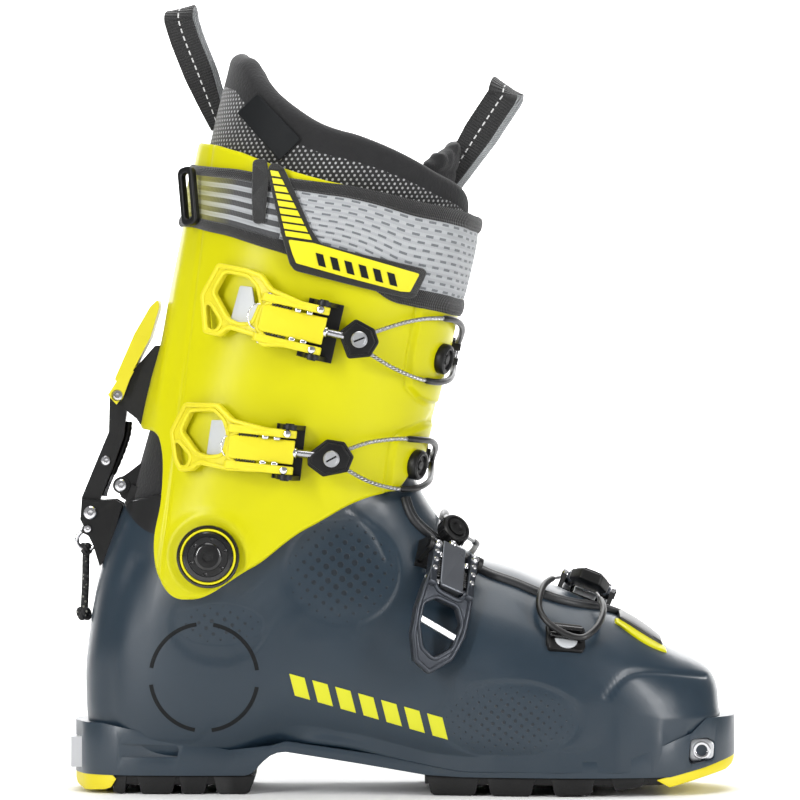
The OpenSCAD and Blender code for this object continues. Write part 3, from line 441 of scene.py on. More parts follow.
def prism(poly, a, b, kind="z"):
    p = np.asarray(poly, float); n = len(p)
    if kind == "z": V = np.r_[np.c_[p, np.full(n, a)], np.c_[p, np.full(n, b)]]
    else: V = np.r_[np.c_[p[:, 0], np.full(n, a), p[:, 1]], np.c_[p[:, 0], np.full(n, b), p[:, 1]]]
    return raw(V, [tuple(range(n)), tuple(range(2 * n - 1, n - 1, -1))] + [(i, (i + 1) % n, n + (i + 1) % n, n + i) for i in range(n)])


def bevel_apply(o, w, seg=2, ang=28):
    md = o.modifiers.new("bv", "BEVEL"); md.width = w * 0.001; md.segments = seg; md.limit_method = "ANGLE"; md.angle_limit = math.radians(ang); md.harden_normals = False
    dg = bpy.context.evaluated_depsgraph_get(); me = bpy.data.meshes.new_from_object(o.evaluated_get(dg)); o.modifiers.clear(); o.data = me


def keep(o, name, mat, body, rep=(), ang=30):
    o.name = name; o.data.materials.clear(); o.data.materials.append(mat)
    o.data.polygons.foreach_set("use_smooth", [True] * len(o.data.polygons)); o.data.set_sharp_from_angle(angle=math.radians(ang))
    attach(o, body)
    if rep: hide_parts(*rep)
    return o

# ------------------------------------------------------------------ pull cord, first
CORD = smooth_path([[-146.8, 0, 110.4], [-146.8, 0, 107.6], [-146.9, 0, 101], [-147.0, -0.2, 95], [-147.3, 0, 89], [-147.6, 0, 83], [-147.8, 0, 79.6]], 5)
cord = tube("pull_cord_braid", CORD, 1.75, M["cord"], "lower", ["pull_cord"], 18)


def knot(name, c, r, body, rep):
    """overhand knot: a thick strand wound three times in a ball."""
    t = np.linspace(0, 2 * math.pi, 90, endpoint=False); s = r * 0.30
    P = np.c_[(np.sin(t) + 2 * np.sin(2 * t)) * s * 0.62, (np.cos(t) - 2 * np.cos(2 * t)) * s * 0.62, -np.sin(3 * t) * s * 1.35] + np.array(c)
    T = np.roll(P, -1, 0) - np.roll(P, 1, 0); T /= np.linalg.norm(T, axis=1, keepdims=True); ref = np.array(c) - P; ref /= np.linalg.norm(ref, axis=1, keepdims=True) + 1e-9
    x = ref - (ref * T).sum(1, keepdims=True) * T; x /= np.linalg.norm(x, axis=1, keepdims=True); y = np.cross(T, x); a = np.arange(12) * 2 * np.pi / 12
    R = P[:, None, :] + r * 0.42 * (np.cos(a)[None, :, None] * x[:, None, :] + np.sin(a)[None, :, None] * y[:, None, :])
    V, F, uv = grid(R, cu=True, cv=True, UV=lambda j, i: (j * 0.0006, i / 12))
    return obj(name, V, F, M["cord"], body, rep, 70, uv)


kn1 = knot("cord_top_knot", (-146.8, 0, 110.2), 3.3, "lower", ["cord_knots"]); kn2 = knot("cord_end_knot", (-147.8, 0, 80.2), 3.9, "lower", [])

# ------------------------------------------------------------------ shell and cuff surfaces
ST = [[143.6, 46, 143.6, 24, 12, .5, 2.2, 2.6], [142.4, 50.5, 142.4, 17, 21, .5, 2.3, 3], [139, 55.5, 139, 11, 29, .47, 2.4, 3.6],
      [132, 60, 132, 8, 36.5, .45, 2.4, 4.2], [120, 66, 120, 8, 44, .44, 2.4, 4.6], [100, 79, 100, 8, 50.5, .42, 2.3, 5],
      [75, 90.5, 74, 8, 53.5, .40, 2.2, 5], [53, 100.5, 48, 8.5, 52.5, .40, 2.1, 5], [35, 106, 22, 10, 49.5, .42, 2.1, 4.6],
      [23, 114, -5, 14, 46.5, .46, 2.1, 4.2], [15, 125, -32, 18, 44.5, .5, 2.2, 3.8], [9, 134, -60, 18, 43.5, .53, 2.3, 3.6],
      [6, 140, -92, 8, 43.5, .55, 2.4, 3.6], [3, 145, -126, 7, 43.5, .57, 2.5, 3.4], [1, 149, -143, 22, 43.5, .58, 2.5, 3.2],
      [0, 152, -146.5, 50, 44, .58, 2.5, 3], [-1, 154, -144.5, 76, 44.6, .57, 2.5, 2.7], [-3, 156, -139.5, 102, 44.6, .55, 2.4, 2.5],
      [-6, 158, -129, 131, 44.6, .53, 2.4, 2.4]]
NST = 18


def lring(t, off, a):
    """points of shell station t inset by off, angles a in radians from the top; negative = outer side"""
    s = cat(ST, t); ka = off * min(max((s[0] - 100) / 43, 0), 1); kb = off * min(max((s[2] - 100) / 43, 0), 1)
    A = np.array([s[0] - ka, s[1]]); B = np.array([s[2] - kb, s[3]]); L = np.linalg.norm(A - B); u = (A - B) / L; C = B + (A - B) * s[5]
    ht = (1 - s[5]) * L - off; hb = s[5] * L - off; w = s[4] - off
    c = np.cos(a); e = np.where(c >= 0, s[6], s[7]); h = np.where(c >= 0, ht, hb) * spow(c, 2 / e)
    return np.c_[C[0] + u[0] * h, w * spow(np.sin(a), 2 / e), C[1] + u[1] * h]


def lpt(t, a, off):
    s = cat(ST, t); A = np.array([s[0], s[1]]); B = np.array([s[2], s[3]]); L = np.linalg.norm(A - B); u = (A - B) / L; C = B + (A - B) * s[5]
    a = math.radians(a); c = math.cos(a); e = s[6] if c >= 0 else s[7]; h = ((1 - s[5] if c >= 0 else s[5]) * L + off) * spow(c, 2 / e)
    return np.array([C[0] + u[0] * h, (s[4] + off) * spow(math.sin(a), 2 / e), C[1] + u[1] * h])


CF = [[84, -146, 2, 50.5], [100, -144, 4, 51], [116, -139, 5, 51.5], [132, -131, 6, 52], [150, -125, 8, 53], [168, -121.5, 12, 54.3],
      [186, -117.5, 16.5, 55.5], [206, -112, 21, 56.8], [228, -108, 26, 58], [250, -103.5, 31, 59], [272, -99, 35.5, 60],
      [300, -93, 41, 61], [345, -83, 50, 62.5]]
CZ = [c[0] for c in CF]
CBOT = [[0, 156], [20, 152], [34, 138], [52, 135], [62, 131], [80, 118], [92, 100], [102, 89], [114, 89], [124, 104], [134, 140], [142, 160], [150, 165], [180, 166]]
CTOP = [[0, 246], [30, 252], [60, 262], [90, 277], [130, 291], [150, 295], [180, 297]]


def cfs(z):
    i = 0
    while i < len(CF) - 2 and z >= CZ[i + 1]: i += 1
    return cat(CF, i + (z - CZ[i]) / (CZ[i + 1] - CZ[i]))


def cpt(a, z, off):
    s = cfs(z); e = 2 / 2.35; a = math.radians(a)
    return np.array([(s[1] + s[2]) / 2 + ((s[2] - s[1]) / 2 + off) * spow(math.cos(a), e), (s[3] + off) * spow(math.sin(a), e), z])


def look(T, a):
    a = abs((a + 180) % 360 - 180); return float(np.interp(a, [t[0] for t in T], [t[1] for t in T]))


def lookS(T, a):
    """rounded version of look: the mean over a few degrees either side"""
    return float(np.mean([look(T, a + d) for d in (-4, -2.6, -1.3, 0, 1.3, 2.6, 4)]))


def gnormals(P, cu=False, cv=True):
    du = np.gradient(P, axis=0) if not cu else np.roll(P, -1, 0) - np.roll(P, 1, 0)
    dv = (np.roll(P, -1, 1) - np.roll(P, 1, 1)) if cv else np.gradient(P, axis=1)
    n = np.cross(dv, du); n /= np.linalg.norm(n, axis=2, keepdims=True) + 1e-12; return n


def sstep(x, a, b): t = np.clip((x - a) / (b - a), 0, 1); return t * t * (3 - 2 * t)


def pdist(X, Z, P):
    """distance from points to a polyline in the side view"""
    P = np.asarray(P, float); best = np.full(X.shape, 1e9)
    for a, b in zip(P[:-1], P[1:]):
        d = b - a; t = np.clip(((X - a[0]) * d[0] + (Z - a[1]) * d[1]) / (d @ d), 0, 1)
        best = np.minimum(best, np.hypot(X - a[0] - t * d[0], Z - a[1] - t * d[1]))
    return best


def px(*q): return np.array([[(x - 405) * 0.46, (788 - y) * 0.46] for x, y in q])


def inpoly(X, Z, P):
    P = np.asarray(P); c = np.zeros(X.shape, bool)
    for (x0, z0), (x1, z1) in zip(P, np.roll(P, -1, 0)):
        c ^= ((z0 > Z) != (z1 > Z)) & (X < (x1 - x0) * (Z - z0) / (z1 - z0 + 1e-12) + x0)
    return c


PLAN0 = [[151.5, 0], [150, 14], [144, 26], [132, 38], [116, 47], [96, 51.5], [70, 52], [40, 48], [10, 42], [-30, 37.5], [-70, 36.5], [-105, 36.5], [-128, 34.5], [-143, 27], [-149, 14], [-151.5, 0]]
# lower shell: fine structured skin with moulded detail
ang = np.linspace(0, 360, 320, endpoint=False); ang = np.radians(ang + 0 * ang)
ts = np.concatenate([np.linspace(0.2, 3, 46)[:-1], np.linspace(3, NST, 230)])
OUT = np.array([lring(t, 0, ang) for t in ts]); NRM = gnormals(OUT)
if (NRM * (OUT - OUT.mean((0, 1)))).sum() < 0: NRM = -NRM
Xs, Ys, Zs = OUT[..., 0], OUT[..., 1], OUT[..., 2]
lat = sstep(-Ys, 8, 20) + sstep(Ys, 8, 20)
D = np.zeros(Xs.shape)
def groove(d, w, depth): return -depth * np.exp(-(d / w) ** 2)
D += groove(pdist(Xs, Zs, smooth_path(px((603, 690), (614, 676), (628, 667), (650, 666), (676, 669), (703, 673)), 4)), 1.0, 0.9) * lat
up_ = sstep(pdist(Xs, Zs, px((603, 690), (628, 667), (650, 666), (703, 673))), 0, 9) * 0
ell = lambda cx, cz, rx, rz: ((Xs - cx) / rx) ** 2 + ((Zs - cz) / rz) ** 2
D += -0.55 * (1 - sstep(ell(-28.5, 101.5, 27, 25.5), 0.86, 1.0)) * lat
D += -0.5 * (1 - sstep(ell(47, 34.5, 34, 18.5), 0.88, 1.0)) * lat
D += -0.4 * (1 - sstep(ell(-84, 77.5, 23, 18), 0.86, 1.0)) * lat
D += groove(pdist(Xs, Zs, smooth_path(px((222, 716), (208, 729), (196, 738), (160, 737), (108, 736)), 4)), 0.9, 0.45) * lat
D += groove(pdist(Xs, Zs, smooth_path(px((325, 727), (380, 741), (450, 757), (520, 765), (575, 768)), 4)), 0.8, 0.4) * lat
D += groove(pdist(Xs, Zs, smooth_path(px((350, 506), (362, 516), (376, 532), (388, 556)), 4)), 1.1, 0.5) * lat
D += 1.3 * np.exp(-((Zs - 34.6) / 3.2) ** 2) * sstep(Xs, 92, 130) * 0.6
D += 1.1 * sstep(-Xs, 118, 132) * (1 - sstep(-Xs, 138, 147)) * sstep(Zs, 40, 70) * np.exp(-((np.abs(Ys) - 30) / 9) ** 2)
D += groove(pdist(Xs, Zs, smooth_path(px((138, 560), (122, 600), (112, 650), (111, 700), (118, 728)), 5)), 4.5, 1.1) * lat
OUT = OUT + NRM * D[..., None]
_p = (OUT[..., 0] > 127.8) & (OUT[..., 0] < 141.6) & (OUT[..., 2] > 12.6) & (OUT[..., 2] < 26.4)
OUT[..., 1] = np.where(_p, np.clip(OUT[..., 1], -28.9, 28.9), OUT[..., 1])
_pl = np.array(PLAN0); _hw = np.interp(OUT[..., 0], _pl[::-1, 0], _pl[::-1, 1]) + 0.5; _ay = np.abs(OUT[..., 1])
_f = (1 - sstep(OUT[..., 2], 22, 42)) * (1 - sstep(OUT[..., 0], 112, 126)) * sstep(OUT[..., 0], -62, -40) * sstep(OUT[..., 2], 8, 11) * sstep(_ay, 20, 34)
OUT[..., 1] = np.sign(OUT[..., 1]) * (_ay + np.maximum(_hw - _ay, 0) * _f)
INN = np.array([lring(t, 4, ang) for t in np.linspace(0.7, NST, 110)])
_p = (INN[..., 0] > 124) & (INN[..., 2] < 32)
INN[..., 1] = np.where(_p, np.clip(INN[..., 1], -25.5, 25.5), INN[..., 1])
LIP = [lring(NST, o, ang) + np.array([-0.6, 0, 1.2]) * math.sin(math.pi * k / 4) for k, o in zip((1, 2, 3), (0.6, 2, 3.4))]
rings = np.concatenate([OUT, np.array(LIP), INN[::-1]])
V, F, _ = grid(rings, cv=True, caps=True)
shell = obj("shell_skin", V, F, M["navy"], "lower", ["lower_shell"], 50)

# cuff: fine skin with raised front flaps, spine ridge, pivot hole and rolled edges
CA = np.concatenate([np.linspace(-180, -78, 118, endpoint=False), np.linspace(-78, 78, 240, endpoint=False), np.linspace(78, 180, 118, endpoint=False)])
NR = 150
bots = np.array([lookS(CBOT, a) for a in CA]); tops = np.array([lookS(CTOP, a) for a in CA])
CO = np.array([[cpt(a, b + (t - b) * j / NR, 0) for a, b, t in zip(CA, bots, tops)] for j in range(NR + 1)])
CN = gnormals(CO); CN = CN * np.sign((CN * (CO - np.array([-45, 0, 200]))).sum(2, keepdims=True).mean())
CI = CO - CN * 3.6
cx, cz, cy = CO[..., 0], CO[..., 2], CO[..., 1]; clat = sstep(-cy, 4, 12)
FLAP_U = px((421, 286), (416, 323), (410, 352), (407, 385), (417, 396), (427, 401), (445, 405), (470, 405))
FLAP_L = px((440, 404), (429, 421), (412, 428), (398, 434), (393, 441), (390, 462), (387, 488), (398, 493), (420, 497))
pu = np.vstack([FLAP_U, px((540, 405), (540, 286))]); plo = np.vstack([FLAP_L, px((540, 500), (540, 404))])
CD = np.zeros(cx.shape)
for P_, e_ in ((pu, FLAP_U), (plo, FLAP_L)):
    d = pdist(cx, cz, e_); ins = inpoly(cx, cz, P_); sd = np.where(ins, d, -d)
    CD += (1.5 * sstep(sd, -0.2, 1.3) - 0.7 * np.exp(-((sd + 0.9) / 0.8) ** 2)) * clat
CD += 1.1 * np.exp(-((cx - (-108 + (cz - 200) * 0.16)) / 2.6) ** 2) * sstep(-cx, 80, 96) * sstep(cz, 165, 180) * 0.9
CD += groove(np.abs(cx - (-99 + (cz - 200) * 0.12)), 0.9, 0.5) * (np.abs(cy) > 15)
CD += 0.8 * np.exp(-(np.hypot(cx + 88.8, cz - 108.6) - 18.5) ** 2 / 5.0)
edge_d = np.minimum(np.arange(NR + 1)[:, None] * (tops - bots)[None, :] / NR, (NR - np.arange(NR + 1))[:, None] * (tops - bots)[None, :] / NR)
CD -= 0.8 * (1 - sstep(edge_d, 0, 1.6)) ** 2
CO = CO + CN * CD[..., None]
CI = CI + CN * (0.7 * (1 - sstep(edge_d, 0, 1.6)) ** 2)[..., None]
rows, cols = CO.shape[:2]; nv = rows * cols; idx = np.arange(nv).reshape(rows, cols)
dist = np.hypot(cx + 88.8, cz - 108.6); V = np.concatenate([CO.reshape(-1, 3), CI.reshape(-1, 3)]); F = []; cut = {}
for j in range(rows - 1):
    for i in range(cols):
        l = (i + 1) % cols; q = (idx[j, i], idx[j, l], idx[j + 1, l], idx[j + 1, i])
        if dist[j, i] < 12.4 and dist[j + 1, l] < 12.9: cut[(j, i)] = q; continue
        F.append(q); F.append(tuple(int(v) + nv for v in q[::-1]))
for (j, i), q in cut.items():
    for nb, e in (((j - 1, i), (0, 1)), ((j, (i + 1) % cols), (1, 2)), ((j + 1, i), (2, 3)), ((j, (i - 1) % cols), (3, 0))):
        if nb not in cut: a, b = q[e[0]], q[e[1]]; F.append((int(a), int(b), int(b) + nv, int(a) + nv))
for i in range(cols):
    l = (i + 1) % cols
    F.append((int(idx[0, i]), int(idx[0, l]), int(idx[0, l]) + nv, int(idx[0, i]) + nv)); F.append((int(idx[-1, i]), int(idx[-1, l]), int(idx[-1, l]) + nv, int(idx[-1, i]) + nv))
cuff = obj("cuff_skin", V, F, M["cuff"], "cuff_body", ["cuff"], 50)
CT = BVHTree.FromPolygons([v.co[:] for v in cuff.data.vertices], [p.vertices[:] for p in cuff.data.polygons])


def catch_knob(nm, x, z):
    """Round black keeper button of a front catch, standing on the cuff skin inside the cable loop."""
    hit = None
    while hit is None: hit, nn, _, _ = CT.ray_cast(Vector((x * 0.001, -0.12, z * 0.001)), Vector((0, 1, 0))); x -= 1.0
    nn = nn if nn.y < 0 else -nn
    p_ = np.array(hit) * 1000; a_ = np.array(nn)
    lathe(nm, [(0.01, -1.5), (6.6, -1.5), (7.0, -0.8), (7.0, 2.6), (6.5, 3.5), (5.4, 3.9), (4.6, 3.6), (4.2, 2.7), (2.4, 2.7), (2.0, 3.3), (0.01, 3.4)], p_, a_, M["black"], "cuff_body", [], 44, 30)


catch_knob("upper_catch_knob", 16.5, 197.8); catch_knob("lower_catch_knob", 5.5, 149.5)

SH = BVHTree.FromPolygons([v.co[:] for v in shell.data.vertices], [p.vertices[:] for p in shell.data.polygons])


def on_shell(c):
    out = np.empty_like(c)
    for k, (x, z, h) in enumerate(c):
        hit, nn, _, _ = SH.ray_cast(Vector((x * 0.001, -0.12, z * 0.001)), Vector((0, 1, 0)))
        nn = nn if nn.y < 0 else -nn; q = hit + nn * (h * 0.001); out[k] = (q.x, q.y, q.z)
    return out


def decal(name, loops, h0, h1, mat, step=2.0, bev=0.05):
    me = plate_mesh(loops, h0, h1, bev, 1); P = np.vstack(loops)
    slice_x(me, np.arange(P[:, 0].min() + 0.9, P[:, 0].max(), step)); slice_x(me, np.arange(P[:, 1].min() + 0.9, P[:, 1].max(), step), 1)
    map_mesh(me, on_shell); me.name = name
    return finish_obj(name, me, mat, "lower", [], 40)


for k in range(7):
    x0, y0 = 291 + 22.6 * k, 668 + 6.4 * k
    decal("shell_bar_%d" % k, [px((x0, y0), (x0 + 15, y0 + 4.2), (x0 + 20.5, y0 + 26), (x0 + 5.5, y0 + 21.8))], -0.1, 0.22, M["decal"])
for k in range(4):
    a0, a1 = math.radians(90 * k + 8), math.radians(90 * k + 80); A1 = np.linspace(a0, a1, 26); rc = ((207 - 405) * 0.46, (788 - 672) * 0.46)
    decal("shell_arc_%d" % k, [np.r_[np.c_[rc[0] + 25.2 * np.cos(A1), rc[1] + 25.2 * np.sin(A1)], np.c_[rc[0] + 23.4 * np.cos(A1[::-1]), rc[1] + 23.4 * np.sin(A1[::-1])]]], -0.1, 0.16, M["decalk"])

# ------------------------------------------------------------------ sole frame, treads, bumpers
half = 151.5
PLAN = [[half, 0], [150, 14], [144, 26], [132, 38], [116, 47], [96, 51.5], [70, 52], [40, 48], [10, 42], [-30, 37.5], [-70, 36.5], [-105, 36.5], [-128, 34.5], [-143, 27], [-149, 14], [-half, 0]]
def plan(d, k=5):
    up = [[x - d * np.sign(x) * (1 if abs(x) > 125 else 0), max(y - d, 0.0)] for x, y in PLAN]; dn = [[x, -y] for x, y in up[-2:0:-1]]
    return smooth_path(up + dn, k, closed=True)
def side_solid(profile, y=62): return prism(profile, -y, y, "y")


FRAME = np.array([[half, 17.5], [half, 34.5], [137, 34.5], [130, 28], [100, 16], [9, 15], [-54, 24], [-61, 22], [-80, 20], [-138, 32], [-half, 32], [-half, 8.4], [-70.8, 8.4], [-61.3, 18], [-54.3, 19.2], [9.1, 9.2], [25.3, 8.4], [120, 8.4], [136, 12]])
fo = prism(plan(0), -1, 41); boolean(fo, side_solid([[half + 2, 17.2], [half + 2, 34.5], [137, 34.5], [130, 28], [100, 16], [9, 15], [-54, 24], [-61, 22], [-80, 20], [-138, 32], [-half - 2, 32], [-half - 2, 8.4], [-73, 8.4], [-70, 9.2], [-64, 15.2], [-61.3, 17.4], [-58, 18.8], [-54.3, 19.2], [-20, 13.9], [9.1, 9.2], [25.3, 8.4], [120, 8.4], [136, 12]]), "INTERSECT")
boolean(fo, prism(rnd([[-half - 1.2, -18], [-half + 5.8, -18], [-half + 5.8, 18], [-half - 1.2, 18]], 1), 11, 25))
for s in (-1, 1):
    pr = px((107, 738), (180, 740), (182, 744), (180, 751.5), (107, 752)); boolean(fo, prism(pr, s * 34.0 if s > 0 else -40, 40 if s > 0 else -34.0, "y"))
    c = rnd([[128.5, 15.8], [129.5, 13.6], [140.8, 15.4], [141.2, 23.6], [137.5, 25.6], [129.5, 25.2]], 2.2); boolean(fo, prism(c, 29.5 if s > 0 else -60, 60 if s > 0 else -29.5, "y"))
bevel_apply(fo, 0.9, 3)
fo.data.name = "sole_frame_body"; keep(fo, "sole_frame_body", M["frame"], "lower", ["sole_frame"], 40)

def lug(poly_xz, y0, y1, cuts=()):
    """tread block: side outline between y0 and y1, clipped to the sole plan"""
    o = prism(poly_xz, y0, y1, "y"); boolean(o, prism(plan(1.0), -1, 25), "INTERSECT"); return o


def tread(name, base, blocks, rep):
    o = prism(plan(1.4), base[1], base[2]); boolean(o, side_solid([[base[0][0], -2], [base[0][0], 20], [base[0][1], 20], [base[0][1], -2]]), "INTERSECT")
    obs = [o]
    for poly, ys in blocks:
        for y0, y1 in ys: obs.append(lug(poly, y0, y1))
    for q in obs: bevel_apply(q, 0.55, 2)
    b = bmesh.new()
    for q in obs: b.from_mesh(q.data)
    me = bpy.data.meshes.new(name); b.to_mesh(me); b.free()
    for q in obs: bpy.data.objects.remove(q)
    o = bpy.data.objects.new(name, me); col.objects.link(o)
    return keep(o, name, M["rubber"], "lower", rep, 35)


tread("heel_tread", ((-132, -69), 4.2, 8.7), [
    ([[-133.4, 8], [-132.6, 0.5], [-128.6, 0], [-127.4, 0.4], [-126.4, 8]], ((-60, -14), (-11, 11), (14, 60))),
    ([[-121.6, 8], [-120, 1], [-119.2, 0], [-107.5, 0], [-105.6, 1], [-104, 8]], ((-60, -20), (-16, 16), (20, 60))),
    ([[-102.5, 8], [-101.5, 0.6], [-100, 0], [-92.6, 0], [-90.8, 1], [-89.5, 8]], ((-60, -22), (-18, 18), (22, 60))),
    ([[-87, 8], [-85.4, 0.8], [-84, 0], [-72.4, 0], [-70.6, 1], [-68.2, 8]], ((-60, -18), (-14, 14), (18, 60)))], ["heel_sole"])
tread("forefoot_tread", ((9, 121), 5.0, 8.9), [
    ([[10, 8.2], [11.6, 1], [13, 0], [30, 0], [31.8, 1], [33.6, 8]], ((-60, -26), (-22, -2), (2, 22), (26, 60))),
    ([[37, 8], [38.6, 1], [40, 0], [55.4, 0], [57, 1], [59, 8]], ((-60, -30), (-26, -3), (3, 26), (30, 60))),
    ([[66, 8], [67.4, 1.2], [68.6, 0.3], [83, 0.9], [84.6, 2], [85.6, 8]], ((-60, -28), (-24, -2), (2, 24), (28, 60))),
    ([[93, 8.4], [94.4, 3.6], [95.8, 2.5], [106, 4.2], [107.6, 5.4], [108, 8.4]], ((-60, -20), (-16, 16), (20, 60))),
    ([[109.6, 8.4], [110.6, 5.6], [116.6, 6.4], [118.6, 8.4]], ((-60, -14), (-10, 10), (14, 60)))], ["forefoot_sole"])
for nm, pts, rp in (("toe_tip_rubber", [[113.6, 7.2], [119, 8.6], [136, 12.2], [151.4, 17.2], [152, 15.5], [149.4, 12.2], [146.4, 10.3], [119.8, 3.7]], "toe_bumper"),
                    ("heel_tip_rubber", [[-152.4, 13.4], [-147.4, 12.4], [-136.4, 9.4], [-133, 8.4], [-131.4, 6.6], [-133.6, 3.0], [-136.2, 1.9], [-146, 1.2], [-150.2, 3.2], [-152.4, 8]], "heel_bumper")):
    o = prism(plan(0.15), -1, 41); boolean(o, side_solid(pts), "INTERSECT")
    if rp == "heel_bumper": boolean(o, prism([[-half - 1.2, -18], [-half + 5.8, -18], [-half + 5.8, 18], [-half - 1.2, 18]], 11, 25))
    bevel_apply(o, 0.7, 3); keep(o, nm, M["yrub"], "lower", [rp], 38)

# ------------------------------------------------------------------ power strap
SB = [[0, 217.5], [20, 218], [45, 221], [62, 224], [80, 236], [102, 246], [125, 253.4], [150, 257.8], [180, 259]]
STP = [[0, 261], [20, 262], [60, 268], [90, 276], [130, 283], [180, 286.6]]
SA = np.linspace(-180, 180, 361)[:-1]


def arc_u(a):
    """stub for the signed length along the strap from the vertical pad, front positive; returns 0.0"""
    return 0.0


AL = np.r_[0, np.cumsum([np.linalg.norm(cpt(b, 255, 2) - cpt(a, 255, 2)) for a, b in zip(np.arange(-180, 180, 1.0), np.arange(-179, 181, 1.0))])]
def ulen(a): return float(np.interp(a, np.arange(-180, 181, 1.0), AL)) * 0.001
U0 = ulen(-104)


def band(name, f0, f1, o0, o1, mat, rep, a0=-180, a1=180, n=360, rows=6, us=0.0, crown=0.5, edge=None):
    """strap band between heights fractions f0..f1 of the strap width, thickness o0..o1"""
    AA = np.linspace(a0, a1, n + 1); closed = (a1 - a0) >= 360
    if closed: AA = AA[:-1]
    prof = []
    for k in range(rows + 1): f = k / rows; prof.append((f0 + (f1 - f0) * f, o1 + crown * (math.sin(math.pi * f) ** 0.5 if 0 < f < 1 else 0) - (0.35 if k in (0, rows) else 0)))
    prof += [(f1, o0), (f0, o0)]
    R = []
    for a in AA:
        b, t = lookS(SB, a), lookS(STP, a); w = 0.35 * math.sin(math.radians(a * 9)) + 0.2 * math.sin(math.radians(a * 23 + 40))
        R.append([cpt(a, b + (t - b) * f, o + (w * 0.5 if o > o0 else 0)) for f, o in prof])
    R = np.array(R); H = lambda a: (lookS(STP, a) - lookS(SB, a)) * 0.001
    def UVf(j, i):
        a = AA[j % len(AA)] if j < len(AA) else (AA[-1] + (AA[1] - AA[0])); k = i % len(prof)
        return (ulen(a) - U0, prof[k][0] * 0.040)
    V, F, uv = grid(R, cu=closed, cv=True, caps=not closed, UV=UVf)
    return obj(name, V, F, mat, "cuff_body", rep, 60, uv)


band("strap_web", 0.10, 0.90, 0.35, 1.7, M["strap"], ["power_strap"], crown=0.5)
band("strap_edge_lower", -0.015, 0.16, 0.3, 2.3, M["edge"], [], rows=4, crown=0.5)
band("strap_edge_upper", 0.86, 1.015, 0.3, 2.3, M["edge"], [], rows=4, crown=0.5)


def curved(name, loops, zt0, zt1, mat, rep, ref, body="cuff_body", bev=0.4, uvs=False, fn=None, step=1.5):
    """2D plate in (x, z) side-view coords of the outer side, wrapped on the cuff surface at heights zt0..zt1 off it"""
    me = plate_mesh(loops, zt0, zt1, bev, 2); P = np.vstack(loops)
    slice_x(me, np.arange(P[:, 0].min() + 0.7, P[:, 0].max(), step)); slice_x(me, np.arange(P[:, 1].min() + 0.7, P[:, 1].max(), step * 2), 1)
    def f(c):
        out = np.empty_like(c)
        for k, (x, z, h) in enumerate(c):
            s = cfs(z); cxm = (s[1] + s[2]) / 2; hx = (s[2] - s[1]) / 2 + h; r = min(abs((x - cxm) / hx), 1.0)
            y = (s[3] + h) * (1 - r ** 2.35) ** (1 / 2.35); out[k] = (x, -y, z)
        return out * 0.001
    map_mesh(me, fn or f); me.name = name
    return finish_obj(name, me, mat, body, rep, 35)


def shrink(P, d):
    P = np.asarray(P, float); n = len(P); out = []; A = 0.5 * sum(P[i - 1][0] * P[i][1] - P[i][0] * P[i - 1][1] for i in range(n)); sg = 1 if A > 0 else -1
    for i in range(n):
        a, q, b = P[i - 1], P[i], P[(i + 1) % n]; e1 = unit(q - a) if np.linalg.norm(q - a) > 1e-9 else unit(b - q); e2 = unit(b - q) if np.linalg.norm(b - q) > 1e-9 else e1
        n1 = np.array([-e1[1], e1[0]]); n2 = np.array([-e2[1], e2[0]]); m_ = unit(n1 + n2) if np.linalg.norm(n1 + n2) > 1e-6 else n1; out.append(q + sg * m_ * d / max(0.4, m_ @ n1))
    return np.array(out)


# vertical pad and L-shaped patch
pad = rnd(px((256, 163), (270, 163), (272, 180), (268, 226), (256, 226), (255, 200)), 2.5)
curved("strap_pad", [pad], 2.2, 4.4, M["edge"], [], None)
LP = px((270.4, 176), (273, 167.5), (280, 167), (287, 172), (298, 196), (312, 229), (322, 245), (350, 253), (390, 262), (424, 270), (426.5, 274), (415.5, 298), (408, 299.5), (360, 288), (297, 272), (292, 265), (284, 236))
LPr = rnd(LP, 4, 4)
curved("patch_border", [LPr], 2.0, 3.9, M["edge"], [], None, bev=0.5)
def q26(x, y): return ((180 + x / 6.03 - 405) * 0.46, (788 - 140 - y / 6.03) * 0.46)


for k in range(9):
    f0, f1 = k / 9, k / 9 + 0.082
    L0, R0 = (562 + 96 * f0, 205 + 400 * f0), (610 + 205 * f0, 212 + 416 * f0); L1, R1 = (562 + 96 * f1, 205 + 400 * f1), (610 + 205 * f1, 212 + 416 * f1)
    curved("patch_bar_%d" % k, [np.array([q26(*L0), q26(*L1), q26(*R1), q26(*R0)])], 3.4, 4.6, M["patchy"], [], None, bev=0.15)
foot = rnd(np.array([q26(668, 612), q26(820, 634), q26(1100, 716), q26(1444, 814), q26(1386, 922), q26(1330, 918), q26(1000, 832), q26(716, 752), q26(694, 700)]), 0.8, 2)
curved("patch_face", [foot], 3.4, 4.6, M["patchy"], ["strap_patch"], None, bev=0.2)
# plain raised stripes in place of lettering on the patch
for k in range(6):
    x0 = 830 + 84 * k; y0 = 690 + 22.5 * k
    curved("patch_stripe_%d" % k, [np.array([q26(x0, y0), q26(x0 + 44, y0 + 12), q26(x0 + 62, y0 + 88), q26(x0 + 18, y0 + 76)])], 4.2, 4.95, M["decalk"], [], None, bev=0.12)

